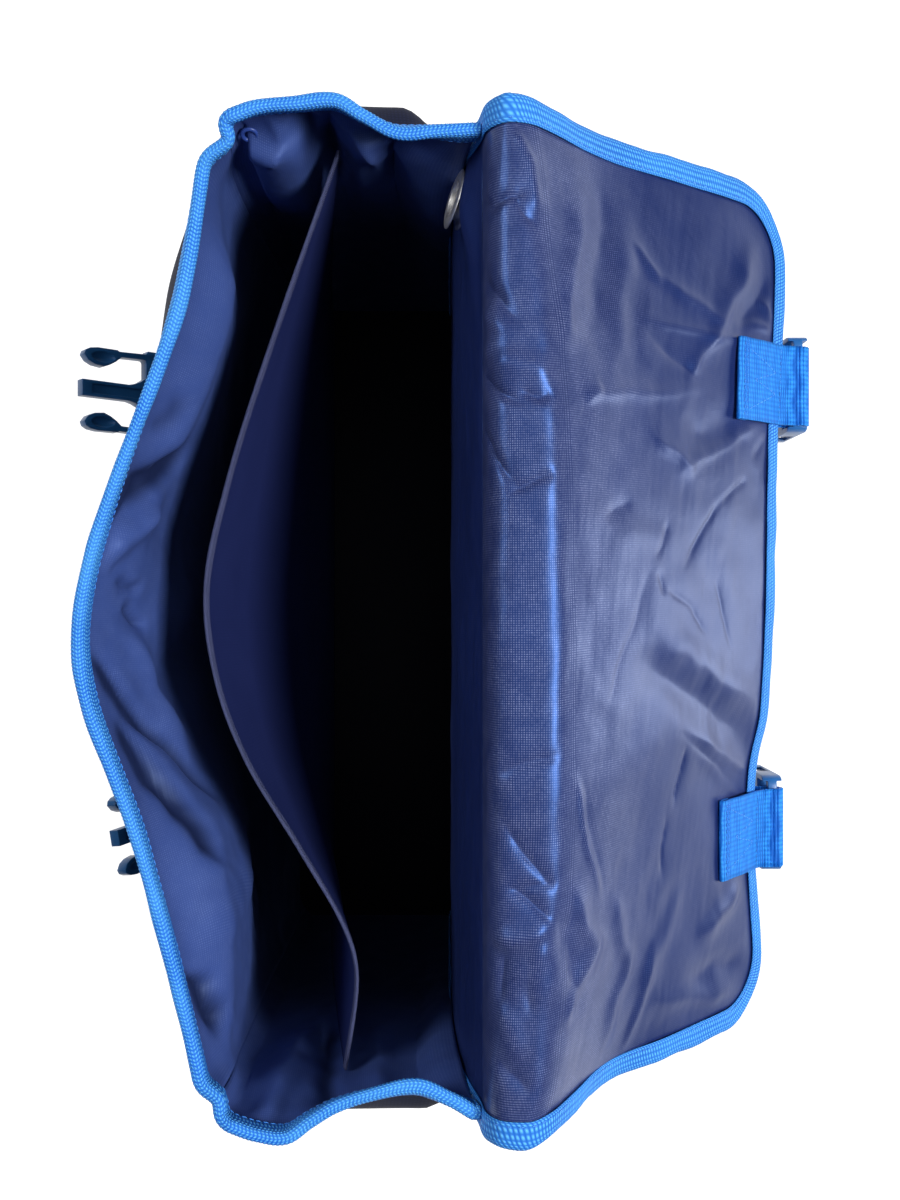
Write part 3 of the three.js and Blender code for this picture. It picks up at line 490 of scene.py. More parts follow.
# bonded polyester sewing thread, twisted, so each stitch has a slanted glint, painted into its colour as lighter bands
threadLook = {"deep": "#1c68c4", "light": "#4098f0", "twist": 0.5, "strength": 0.4, "depth": 0.05}
blueThread, threadTree, threadShader = newFinish("blue_polyester_thread", Roughness=0.45, IOR=1.5, Sheen_Weight=0.2)
threadAt = addNode(threadTree, "TexCoord", out="Object")
twist = addNode(threadTree, "TexWave", {"Vector": threadAt, "Scale": waveScale(threadLook["twist"])},
                bands_direction="DIAGONAL", out="Fac")
threadBody = addNode(threadTree, "Mix", {
    "Factor": twist, "A": colour(threadLook["deep"]), "B": colour(threadLook["light"])},
    data_type="RGBA", out="Result")
threadBump = addNode(threadTree, "Bump", {
    "Height": twist, "Strength": threadLook["strength"], "Distance": threadLook["depth"] * mm})
joinShader(threadTree, threadShader, Base_Color=threadBody, Normal=threadBump)


def mouldedAcetal(name, deep, light, flowSize, grainSize=0.7):
    # acetal, injection moulded and spark-eroded: dark blue with a faint grain and soft gloss
    finish, tree, shader = newFinish(name, IOR=1.48, Specular_IOR_Level=0.35)
    at = addNode(tree, "TexCoord", out="Object")
    grain, flow = (addNode(tree, "TexNoise", {"Vector": at, "Scale": cellScale(size), "Detail": detail})
                   for size, detail in ((grainSize, 2), (flowSize, 3)))
    body = addNode(tree, "Mix", {"Factor": flow, "A": colour(deep), "B": colour(light)}, data_type="RGBA", out="Result")
    gloss = addNode(tree, "MapRange", {"Value": flow, "To Min": 0.28, "To Max": 0.42})
    bump = addNode(tree, "Bump", {"Height": grain, "Strength": 0.25, "Distance": 0.06 * mm})
    joinShader(tree, shader, Base_Color=body, Roughness=gloss, Normal=bump)
    return finish


buckleAcetal = mouldedAcetal("dark_blue_moulded_acetal", "#153c66", "#235c92", 9)
# the sockets: the same dark blue plastic, painted lighter to stand in for the light on their upturned faces
paintedLighterAcetal = mouldedAcetal("dark_blue_acetal_painted_lighter", "#1d4f86", "#2f6fb0", 9)
navyAcetal = mouldedAcetal("navy_moulded_acetal", "#223878", "#36509c", 6)

# brass eyelet, nickel plated and pressed: bright grey with dulled spots
nickelPlate, nickelTree, nickelShader = newFinish("nickel_plated_brass", Metallic=1)
nickelAt = addNode(nickelTree, "TexCoord", out="Object")
nickelSpots = addNode(nickelTree, "TexNoise", {
    "Vector": nickelAt, "Scale": cellScale(3), "Detail": 5, "Roughness": 0.65})
nickelBody = addNode(nickelTree, "Mix", {
    "Factor": nickelSpots, "A": colour("#d8d6d2"), "B": colour("#f4f2ef")}, data_type="RGBA", out="Result")
nickelGloss = addNode(nickelTree, "MapRange", {
    "Value": nickelSpots, "From Min": 0.3, "From Max": 0.7, "To Min": 0.4, "To Max": 0.55})
joinShader(nickelTree, nickelShader, Base_Color=nickelBody, Roughness=nickelGloss)
print("finishes ready")


# making pieces

def finishPiece(name, bm, finishes, node):
    mesh = meshOf(name, bm)
    for finish in finishes:
        mesh.materials.append(finish)
    mesh.polygons.foreach_set("use_smooth", [True] * len(mesh.polygons))
    piece = addObject(name, mesh)
    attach(piece, "root")
    if node:
        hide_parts(node)
    return piece


def thicken(piece, thickness, offset=0, backFinish=0):
    wall = piece.modifiers.new("cloth_thickness", "SOLIDIFY")
    wall.thickness = thickness * mm
    wall.offset = offset
    wall.material_offset = backFinish
    wall.material_offset_rim = backFinish


def sheetPiece(name, bm, finishes, node, thick):
    # its last finish is on the back
    piece = finishPiece(name, bm, finishes, node)
    thicken(piece, thick, backFinish=len(finishes) - 1)


def wovenGrid(columns, rows, flat, *marks):
    # a flat grid with its weave in metres, and each vertex with its place on the cloth; marks: values on the vertices
    bm = bmesh.new()
    bmesh.ops.create_grid(bm, x_segments=columns, y_segments=rows, size=0.5)
    weave = bm.loops.layers.uv.new("weave")
    for mark in marks:
        bm.verts.layers.float.new(mark)
    for face in bm.faces:
        for loop in face.loops:
            loop[weave].uv = ((loop.vert.co.x + 0.5) * flat[0] * mm, (loop.vert.co.y + 0.5) * flat[1] * mm)
    return bm, [(vert, vert.co.x + 0.5, vert.co.y + 0.5) for vert in bm.verts]


def faceOut(bm, outward):
    if outward < 0:
        bmesh.ops.reverse_faces(bm, faces=bm.faces)
        bm.normal_update()


def moveSpots(bm, spots, moves):
    for (vert, u, v), move in zip(spots, moves):
        vert.co += move
    bm.normal_update()


def layCloth(columns, rows, flat, placeAt, reliefAt, faceTowards, hollowAt=None):
    # a flat piece moved to its place and then creased along its own normals; painted shade darkens its hollows
    bm, spots = wovenGrid(columns, rows, flat, "hollow")
    hollow = bm.verts.layers.float["hollow"]
    for vert, u, v in spots:
        vert.co = placeAt(u, v)
    bm.normal_update()
    target = Vector(faceTowards)
    faceOut(bm, sum(vert.normal.dot(target - vert.co) for vert in bm.verts))
    moves = [vert.normal * reliefAt(u, v) for vert, u, v in spots]
    for (vert, u, v), move in zip(spots, moves):
        vert.co = (vert.co + move) * mm
        vert[hollow] = hollowAt(u, v) if hollowAt else 0
    bm.normal_update()
    return bm


def foldRelief(folds, x, y, narrow=1):
    # each fold: from x, y to x, y, its width, its height, and how sharp its crest is; a sharp one is steep on one side
    total = 0
    for x0, y0, x1, y1, width, height, sharp in folds:
        width *= narrow
        dx, dy = x1 - x0, y1 - y0
        length = math.hypot(dx, dy)
        share = ((x - x0) * dx + (y - y0) * dy) / length ** 2
        side = ((x - x0) * dy - (y - y0) * dx) / length
        if -0.3 < share < 1.3 and abs(side) < 5 * width:
            ends = smoothStep(share, -0.3, 0.25) * smoothStep(1 - share, -0.3, 0.25)
            crest = math.exp(0.14 - math.sqrt((side / width / (0.6 if side > 0 else 1.4)) ** 2 + 0.02))
            total += height * ends * mix(bell(side, width), crest, sharp)
    return total


stitch = {"length": 2.2, "radius": 0.24}


def sewRow(bm, spots, ups):
    # a low bead of thread at each spot, turned along the row
    bead = bmesh.new()
    bmesh.ops.create_uvsphere(bead, u_segments=6, v_segments=4, radius=1)
    beadMesh = meshOf("thread_bead", bead)
    for k, spot in enumerate(spots):
        along = (spots[min(k + 1, len(spots) - 1)] - spots[max(k - 1, 0)]).normalized()
        side = ups[k].cross(along).normalized()
        turned = Matrix((side * stitch["radius"], along.cross(side) * stitch["radius"],
                         along * stitch["length"] / 2)).transposed() * mm
        laid = beadMesh.copy()
        laid.transform(Matrix.Translation(spot * mm) @ turned.to_4x4())
        bm.from_mesh(laid)
        bpy.data.meshes.remove(laid)
    bpy.data.meshes.remove(beadMesh)


def soften(value, low, high, reach):
    # falls to nothing at both ends of a range
    return smoothStep(value, low, low + reach) * smoothStep(-value, -high, -high + reach)


# front wall and gussets: an outer cloth, and a looser lining that stands in from it under the rim
girdlePanels = {
    "gusset_left": {"start": -2.6, "end": cornerSeams[0], "columns": 64, "seed": 11.3, "foldGain": 1.7, "folds": [
        (70, 287, 65, 250, 6, -2, 0.4), (61, 287, 58, 252, 6, 2, 0.4), (83, 271, 79, 254, 8, 1.5, 0.2),
        (43, 289, 33, 215, 6, 2, 0.5), (27, 275, 30, 207, 6, -2, 0.5), (15, 275, 10, 225, 7, 1.6, 0.4),
        (58, 288, 57, 200, 4, -3, 0.8), (66, 284, 50, 262, 3, 1.6, 0.8), (50, 270, 30, 240, 4, 2.2, 0.7),
        (40, 262, 16, 246, 4, 1.8, 0.8), (76, 280, 84, 255, 3, 1.4, 0.8), (88, 284, 80, 268, 3, 1.2, 0.7),
        (84, 259, 104, 259, 8, 2.4, 0)]},
    "front_panel": {"start": cornerSeams[0], "end": cornerSeams[1], "columns": 230, "seed": 3.1, "foldGain": 3,
                    "folds": [
        (265, 287, 227, 231, 9, -3, 0.2), (285, 287, 260, 248, 8, 2, 0.2), (294, 262, 296, 244, 4, -1.2, 0.3),
        (305, 252, 314, 234, 4, -1.6, 0.4), (329, 279, 372, 236, 6, -2.6, 0.3), (372, 236, 401, 211, 7, -2.2, 0.2),
        (326, 242, 369, 219, 9, 2, 0.2), (361, 268, 396, 256, 8, -2.6, 0.2), (396, 256, 424, 248, 8, -2.2, 0.2),
        (465, 283, 477, 266, 5, -2.2, 0.4), (474, 271, 497, 258, 6, -2.6, 0.4), (226, 270, 207, 258, 8, -1.2, 0.2)]},
    "gusset_right": {"start": cornerSeams[1], "end": girdleLength + 2.6, "columns": 64, "seed": 15.9, "foldGain": 1.7,
                     "folds": [
        (540, 280, 548, 200, 8, 2, 0.3), (565, 285, 560, 180, 7, -2.2, 0.3), (590, 280, 585, 190, 8, 1.8, 0.3)]},
}
liningShape = {
    "rows": 124, "height": 289, "wall": 1.2, "wallRows": 72, "thick": 0.5, "lift": 1.05, "foldWidth": 0.85,
    # painted shade: drawn darker in its hollows and towards its foot, where hardly any light comes
    "hollow": 0.85, "footShadeFrom": 0.24, "footShadeTo": 0.6, "footShade": 0.9,
    "swell": [(1.2, 55, 80), (0.5, 20, 32)], "streaks": [(0.4, 9, 40), (0.2, 4, 22)], "streakTilt": 0.5,
    # run round the bag, how far the lining stands in there
    "stand": [(0, 6.5), (20, 8), (44, 11), (52, 6), (58, 2.5), (64, 7), (74, 17), (92, 16), (108, 5), (125, 10),
              (151, 23), (185, 24), (220, 18), (247, 12), (290, 6), (354, 5), (386, 10), (418, 19), (450, 20),
              (480, 15), (505, 7), (515, 4), (526, 6), (560, 6), (600, 5), (623, 6)],
    "crest": (0.027, 0.14, 0.24, 0.62),  # below the rim: where the bulge starts, is full, and fades out
}


def liningStand(run, v):
    below = 1 - v
    starts, full, fades, ends = liningShape["crest"]
    stand = readTable(liningShape["stand"], 1, run) * smoothStep(below, starts, full)
    return stand * (1 - smoothStep(below, fades, ends))


def liningCreases(panel, run, y):
    strayed = noise.noise_vector(Vector((run / 15, y / 15, panel["seed"]))) * 2.2
    return foldRelief(panel["folds"], run + strayed.x, y + strayed.y, liningShape["foldWidth"])


def liningRelief(panel, run, v):
    y = v * liningShape["height"]
    fade = soften(run, panel["start"], panel["end"], 8) * soften(y, 6, 280, 8)
    swell = swells(run, y, [(*layer, panel["seed"]) for layer in liningShape["swell"]])
    streaks = swells(run + liningShape["streakTilt"] * y, y,
                     [(*layer, panel["seed"]) for layer in liningShape["streaks"]])
    loose = liningStand(run, v) + fade * (swell + streaks + panel["foldGain"] * liningCreases(panel, run, y))
    return liningShape["lift"] + max(loose, 0)


wallPuff = {"run": 150, "wide": 32, "height": 238, "tall": 34, "out": 2.5}  # the cloth stands out at one corner


def girdlePiece(node):
    panel = girdlePanels[node]
    flat = (panel["end"] - panel["start"], liningShape["height"])
    inside = (0, 0, 200)

    def runAt(u):
        return mix(panel["start"], panel["end"], u)

    def place(u, v):
        return girdleAt(runAt(u), v)

    def puffed(u, v):
        height = v * liningShape["height"]
        puff = bell(runAt(u) - wallPuff["run"], wallPuff["wide"]) * bell(height - wallPuff["height"], wallPuff["tall"])
        return -wallPuff["out"] * puff * soften(height, 0, 281, 20)

    def relief(u, v):
        return liningRelief(panel, runAt(u), v)

    # painted shade in the lining's creases and towards its foot
    def hollow(u, v):
        creases = liningCreases(panel, runAt(u), v * liningShape["height"])
        foot = liningShape["footShade"] * smoothStep(1 - v, liningShape["footShadeFrom"], liningShape["footShadeTo"])
        return max(liningShape["hollow"] * smoothStep(-creases, 0.2, 2.2), foot)

    wallMesh = layCloth(panel["columns"] // 2, liningShape["wallRows"], flat, place, puffed, inside)
    sheetPiece(node + "_cloth", wallMesh, [outerOxford], node, liningShape["wall"])
    liningMesh = layCloth(panel["columns"], liningShape["rows"], flat, place, relief, inside, hollow)
    sheetPiece(node + "_lining", liningMesh, [paintedLighterLining], None, liningShape["thick"])


for node in girdlePanels:
    girdlePiece(node)
print("front wall and gussets ready")

# back wall up to its top seam
backCloth = {"columns": 132, "rows": 96, "flat": (396, 288), "swell": [(1.0, 50, 60, 21.3), (0.6, 20, 26, 23.1)]}
eyeletTilt = {"across": -176, "height": 258, "wide": 20, "turn": 0.24, "lean": 0.1, "in": 4, "hole": 9}


def backPlace(u, v):
    return clothAt(mix(-1, 1, u) * backWall["halfWidth"], v * seamAt)


def backRelief(u, v):
    x, y = (u - 0.5) * backCloth["flat"][0], v * backCloth["flat"][1]
    fade = soften(x, -189, 189, 12) * soften(y, 4, 288, 10)
    swell = swells(x, y, backCloth["swell"])
    dx, dz = x - eyeletTilt["across"], y - eyeletTilt["height"] + footZ
    tilted = eyeletTilt["turn"] * dx - eyeletTilt["lean"] * dz + eyeletTilt["in"]
    near = bell(math.hypot(dx, dz), eyeletTilt["wide"])
    return fade * swell * (1 - near) + tilted * near * soften(x, -197, 189, 5)


backMesh = layCloth(backCloth["columns"], backCloth["rows"], backCloth["flat"], backPlace, backRelief, (0, -300, 150))
eyeletSpot = Vector((eyeletTilt["across"], backFace(eyeletTilt["height"]) - eyeletTilt["in"], eyeletTilt["height"]))
bmesh.ops.delete(backMesh, context="FACES", geom=[
    face for face in backMesh.faces
    if (face.calc_center_median() - eyeletSpot * mm).length < eyeletTilt["hole"] * mm])
sheetPiece("back_panel_cloth", backMesh, [paintedDarkerLining, outerOxford], "back_panel", backWall["thick"])
print("back wall ready")

# flap, from the back seam over the spine to its outer edge
flapCloth = {
    "columns": 296, "rows": 156, "flat": (396, 205), "ridgeHeight": 0.2, "ridgeWidth": 6, "ease": 0.018,
    "foldGain": 1.25, "foldWidth": 0.7, "wander": (2.4, 15), "swell": [(0.9, 45, 40, 31.7), (0.45, 18, 22, 37.9)],
    "streaks": [(0.08, 40, 4.6, 43.1), (0.05, 17, 2.6, 47.7)], "streakTilt": 0.22,
    # across, how far the crest of the spine lies from the back seam
    "ridge": [(-184, 47), (-165, 41), (-146, 36), (-126, 37), (-108, 40), (-84, 41), (-46, 42), (0, 41), (45, 39),
              (68, 38), (90, 39), (136, 40), (180, 41)],
    "folds": [
        (-88, 68, -98, 136, 7, 1.3, 0.8), (-86, 63, -90, 72, 3, 0.8, 0.8), (-156, 102, -146, 114, 4, 0.9, 0.9),
        (-146, 114, -132, 155, 5, 1.1, 0.9), (-124, 108, -124, 171, 5, 1, 0.9),
        (-117, 112, -105, 136, 4, -0.8, 0.8), (-105, 136, -126, 153, 5, 1.3, 0.8),
        (-124, 153, -164, 181, 9, 2.2, 0.4), (-130, 174, -154, 193, 7, -1.6, 0.4),
        (-147, 190, -136, 205, 5, 1, 0.5), (-130, 173, -136, 200, 4, 1, 0.5),
        (-164, 72, -112, 52, 8, 1.6, 0.2), (-174, 86, -116, 71, 9, -1.4, 0.2),
        (-162, 98, -100, 82, 8, 0.9, 0.2), (-75, 109, -64, 132, 4, 1, 0.8), (-64, 132, -84, 181, 5, 1.2, 0.8),
        (-76, 135, -86, 172, 14, -1.8, 0.1), (-60, 177, -51, 161, 2.2, -0.8, 0.9),
        (-48, 155, -24, 131, 2.2, -0.8, 0.9), (-81, 196, -72, 187, 2.5, -0.7, 0.9),
        (-40, 74, -46, 88, 3, -0.6, 0.8), (-36, 115, -26, 107, 2.2, -0.6, 0.9),
        (-10, 117, -4, 134, 2.5, -0.6, 0.9), (-16, 107, -9, 111, 2.2, -0.5, 0.9),
        (-2, 134, 9, 145, 2.5, -0.6, 0.9), (-9, 155, 14, 167, 2.5, -0.5, 0.9),
        (21, 103, 60, 186, 14, -2.2, 0.15), (10, 110, 51, 205, 12, 1.6, 0.2), (57, 144, 78, 193, 6, 1.7, 0.5),
        (66, 150, 84, 189, 5, 1.2, 0.5), (58, 139, 87, 193, 3, -0.9, 0.6), (62, 132, 80, 128, 2.6, -1, 0.9),
        (90, 121, 112, 120, 2.2, -0.7, 0.9), (68, 51, 104, 68, 3, 1.1, 0.9), (69, 57, 104, 72, 4, -0.8, 0.6),
        (-10, 96, 33, 73, 2.4, -0.4, 0.9), (106, 54, 130, 69, 6, 1.7, 0.5), (130, 69, 153, 51, 8, 1.9, 0.4),
        (114, 45, 150, 61, 8, -1.7, 0.3), (118, 83, 146, 95, 6, 1.3, 0.4), (146, 95, 177, 83, 6, 1.2, 0.4),
        (146, 114, 186, 100, 4, 0.9, 0.5), (128, 133, 160, 108, 8, 0.9, 0.2),
        (134, 189, 148, 155, 7, 1.7, 0.4), (166, 147, 171, 185, 10, -1.7, 0.2),
        (171, 120, 183, 179, 6, 1, 0.4), (-165, 0, -158, 15, 3, -1, 0.8), (-158, 15, -164, 38, 2.6, -1.3, 0.9),
        (-159, 31, -152, 42, 3, -0.9, 0.8), (-135, 0, -118, 25, 5, -1.6, 0.5), (-122, 0, -111, 22, 5, 1, 0.4),
        (-104, 0, -106, 18, 5, 0.9, 0.4), (-96, 0, -84, 25, 3, -1.7, 0.8), (-99, 18, -94, 40, 8, 1.1, 0.2),
        (-87, 28, -84, 35, 2.6, -1.1, 0.9), (-84, 35, -86, 41, 2.6, -0.9, 0.9),
        (-74, 2, -56, 22, 3, -1.5, 0.8), (-50, 25, -56, 38, 2.6, -1.4, 0.9), (57, 21, 51, 39, 2.6, -0.8, 0.9),
        (78, 22, 99, 37, 3, -1.4, 0.8), (102, 24, 112, 38, 3, -1.5, 0.8), (102, 24, 100, 40, 2.2, -0.7, 0.9),
        (122, 18, 116, 37, 6, 1.6, 0.4), (124, 21, 144, 19, 8, -1.6, 0.3), (122, 38, 135, 30, 6, 1.1, 0.4),
        (129, 32, 147, 32, 4, -0.9, 0.5), (150, 21, 164, 29, 7, 1.1, 0.3), (168, 18, 178, 37, 6, -1.3, 0.4),
        (-186, 38, -174, 45, 5, 1.2, 0.5), (-174, 45, -158, 45, 5, 1.2, 0.5)],
}


def flapPlace(u, v):
    along, halfWidth, run = flapRow(v * flapCloth["flat"][1])
    x, ease = mix(-1, 1, u) * halfWidth, min(flapCloth["ease"], along - seamAt, 1 - along)
    return (clothAt(x, along - ease) + 2 * clothAt(x, along) + clothAt(x, along + ease)) / 4


def flapRelief(u, v):
    along, halfWidth, run = flapRow(v * flapCloth["flat"][1])
    x = mix(-1, 1, u) * halfWidth
    fade = soften(x, 4 - halfWidth, halfWidth - 4, 12) * soften(run, 1, 201, 10)
    swell = swells(x, run, flapCloth["swell"])
    streaks = swells(x, run + flapCloth["streakTilt"] * x, flapCloth["streaks"])  # fine draws, mostly along the bag
    crest = abs(run - readTable(flapCloth["ridge"], 1, x)) / flapCloth["ridgeWidth"]
    reach, size = flapCloth["wander"]
    strayed = noise.noise_vector(Vector((x / size, run / size, 61.9))) * reach
    creases = foldRelief(flapCloth["folds"], x + strayed.x, run + strayed.y, flapCloth["foldWidth"])
    return fade * (swell + streaks + flapCloth["ridgeHeight"] * bell(crest, 1) + flapCloth["foldGain"] * creases)


flapMesh = layCloth(flapCloth["columns"], flapCloth["rows"], flapCloth["flat"], flapPlace, flapRelief, (0, 300, 700))
sheetPiece("flap_cloth", flapMesh, [paintedDarkerLining, outerOxford], "flap", backWall["thick"])
print("flap ready")

# divider between the two compartments
dividerCloth = {"columns": 136, "rows": 80, "flat": (396, 245), "swell": [(0.9, 70, 60, 51.3), (0.3, 25, 25, 53.8)]}


def dividerRelief(u, v):
    x, y = (u - 0.5) * dividerCloth["flat"][0], v * dividerCloth["flat"][1]
    fade = soften(x, -196, 196, 20) * soften(y, 4, 238, 20)
    return fade * swells(x, y, dividerCloth["swell"])


dividerMesh = layCloth(dividerCloth["columns"], dividerCloth["rows"], dividerCloth["flat"], dividerAt, dividerRelief,
                       (0, 300, 100))
sheetPiece("divider_cloth", dividerMesh, [coatedNylon], "divider", dividerShape["thick"])
print("divider ready")


# folded tapes

sectionReach = 8.5  # mm from a tape's inner edge to the cloth's edge, for the width of its weave


def zigzag(place, rib):
    row = place / rib["row"] % 2
    return rib["slant"] * rib["row"] * (row if row < 1 else 2 - row)


def foldTape(stations, section, runLength, rib):
    # section: share of the way from the tape's inner edge to the cloth's edge, out beyond it, and height off the cloth
    across = len(section) - 1
    line = [(inward * sectionReach + beyond, height) for inward, beyond, height in section]
    width = sum(math.dist(a, b) for a, b in zip(line, line[1:]))
    bm, spots = wovenGrid(len(stations) - 1, across, (runLength, width))
    for vert, u, v in spots:
        edge, inset, edgeNormal, insetNormal = stations[round(u * (len(stations) - 1))]
        inward, beyond, height = section[round(v * across)]
        normal = insetNormal.lerp(edgeNormal, inward)
        beyond += rib["uneven"] * noise.noise(Vector((u * runLength / 16, 3.3, 71.7))) * inward
        height *= 1 + 0.2 * noise.noise(Vector((u * runLength / 22, 9.1, 73.3)))
        vert.co = (inset.lerp(edge, inward) + (edge - inset).normalized() * beyond + normal * height) * mm
    bm.normal_update()
    edge, inset = stations[len(stations) // 2][:2]
    crown = min(bm.verts, key=lambda vert: (vert.co - (edge + (edge - inset)) * mm).length)
    faceOut(bm, crown.normal.dot(edge - inset))
    turns = [2 * math.pi * (u * runLength + zigzag(v * width, rib)) / rib["pitch"] for vert, u, v in spots]
    moveSpots(bm, spots, [spot[0].normal * rib["depth"] * mm * math.sin(turn) for spot, turn in zip(spots, turns)])
    return bm


def sewTape(name, stations, section):
    # a row of stitches near the inner edge, on both sides
    inward, beyond, height = section[2]
    bm = bmesh.new()
    for side in (1, -1):
        spots, ups = [], []
        for edge, inset, edgeNormal, insetNormal in stations:
            up = insetNormal.lerp(edgeNormal, inward) * side
            spots.append(inset.lerp(edge, inward) + up * height)
            ups.append(up)
        sewRow(bm, spots, ups)
    finishPiece(name, bm, [blueThread], None)


def evenStations(spotsAt, stationAt, count, dense):
    # stations spaced evenly along the edge
    places, length = evenPlaces([stationAt(spotsAt(k / dense))[0] for k in range(dense + 1)], count)
    return [stationAt(spotsAt((k + share) / dense)) for k, share in places], length


def tapeSection(half, crown, inner):
    # from the inner edge on one side, round the crown, to the other side
    side = [(0, 0, inner), (0.06, 0, inner + 0.5), (0.2, 0, mix(inner + 0.5, half, 0.5)), (0.5, 0, half * 0.96),
            (0.8, 0, half), (1, 0, half)]
    turn = [(1, crown * math.sin(k * math.pi / 8), half * math.cos(k * math.pi / 8)) for k in range(1, 8)]
    return side + turn + [(a, b, -h) for a, b, h in reversed(side)]


def tapePiece(name, node, finish, tape, spotsAt, stationAt):
    section = tapeSection(tape["half"], tape["crown"], tape["inner"])
    stations, length = evenStations(spotsAt, stationAt, tape["stations"], tape["dense"])
    piece = finishPiece(name, foldTape(stations, section, length, tape["rib"]), [finish], node)
    thicken(piece, tape["thick"], offset=-1)
    if "stitches" in tape:
        stitches = evenStations(spotsAt, stationAt, tape["stitches"], tape["dense"])[0]
        sewTape(tape["sewn"], stitches[1:-1], section)
    print(name, "ready,", round(length), "mm long")


rimTape = {
    "stations": 1300, "stitches": 200, "dense": 600, "cover": 8.5, "half": 2.75, "crown": 2.4, "inner": 1.4,
    "thick": 0.8, "tuck": 2.5,  # under the flap's tape at both ends
    "rib": {"pitch": 1.6, "depth": 0.14, "row": 3.4, "slant": 0.35, "uneven": 0.8}, "sewn": "rim_tape_stitches",
}


def rimStation(run):
    def normal(share):
        wide = girdleAt(run + 1, share) - girdleAt(run - 1, share)
        up = girdleAt(run, min(share + 0.01, 1)) - girdleAt(run, share - 0.01)
        return wide.cross(up).normalized()

    low = 1 - rimTape["cover"] / frontWall["rim"]
    return girdleAt(run, 1), girdleAt(run, low), normal(1), normal(low)


def rimRun(share):
    return mix(-rimTape["tuck"], girdleLength + rimTape["tuck"], share)


tapePiece("rim_binding_tape", "rim_binding", bindingTape, rimTape, rimRun, rimStation)

flapTape = {
    "stations": 1900, "stitches": 360, "dense": 700, "cover": 8.6, "front": 6.4, "half": 2.8, "crown": 3.0,
    "inner": 1.9, "thick": 0.8, "sewn": "flap_tape_stitches",
    "rib": {"pitch": 1.6, "depth": 0.06, "row": 60, "slant": 0.5, "uneven": 1.1},
}


def flapOutline():
    # the cloth's edge as across and along, and the same some way in
    half, corner, cover, front = backWall["halfWidth"], flapShape["corner"], flapTape["cover"], flapTape["front"]
    straight = fromEdge(corner)
    side = [(half, straight * k / 60, half - cover, straight * k / 60) for k in range(61)]
    bend = []
    for k in range(1, 12):
        turn = k / 12 * math.pi / 2
        ring = [(half - corner + r * math.cos(turn), fromEdge(corner - r * math.sin(turn)))
                for r in (corner, corner - mix(cover, front, k / 12))]
        bend.append(ring[0] + ring[1])
    outer = [(half - corner - k * (half - corner) / 20, 1, half - corner - k * (half - corner) / 20, fromEdge(front))
             for k in range(20)]
    right = side + bend + outer
    left = [(-a, b, -c, d) for a, b, c, d in right]
    return left + [(0, 1, 0, fromEdge(front))] + right[::-1]


flapSpots = flapOutline()


def flapSpot(share):
    at = share * (len(flapSpots) - 1)
    k = min(int(at), len(flapSpots) - 2)
    return [mix(a, b, at - k) for a, b in zip(flapSpots[k], flapSpots[k + 1])]


def flapStation(spot):
    return clothAt(*spot[:2]), clothAt(*spot[2:]), clothNormal(*spot[:2]), clothNormal(*spot[2:])


tapePiece("flap_binding_tape", "flap_binding", flatTape, flapTape, flapSpot, flapStation)

hemTape = {
    "stations": 900, "dense": 240, "cover": 2.6, "half": 0.75, "crown": 0.6, "inner": 0.55, "thick": 0.25,
    "rib": {"pitch": 1.3, "depth": 0.09, "row": 40, "slant": 1, "uneven": 0.2},
}


def hemStation(share):
    low = 1 - hemTape["cover"] / (dividerShape["height"] - footZ)

    def normal(rise):
        wide = dividerAt(min(share + 0.004, 1), rise) - dividerAt(max(share - 0.004, 0), rise)
        return wide.cross(dividerAt(share, rise) - dividerAt(share, rise - 0.02)).normalized()

    return dividerAt(share, 1), dividerAt(share, low), normal(1), normal(low)


tapePiece("divider_hem_tape", "divider_hem", hemTwill, hemTape, lambda share: share, hemStation)

# webbing
webbing = {"width": 38, "thick": 1.4, "columns": 12, "step": 0.35, "ribPitch": 1.7, "ribDepth": 0.7,
           "stitchPitch": 2.9, "stitchDip": 0.3, "dipWidth": 0.9, "faceAt": 20}


def nearest(stretch, x, y):
    x0, y0, x1, y1 = stretch
    share = ((x - x0) * (x1 - x0) + (y - y0) * (y1 - y0)) / ((x1 - x0) ** 2 + (y1 - y0) ** 2)
    share = min(max(share, 0), 1)
    return mix(x0, x1, share), mix(y0, y1, share)


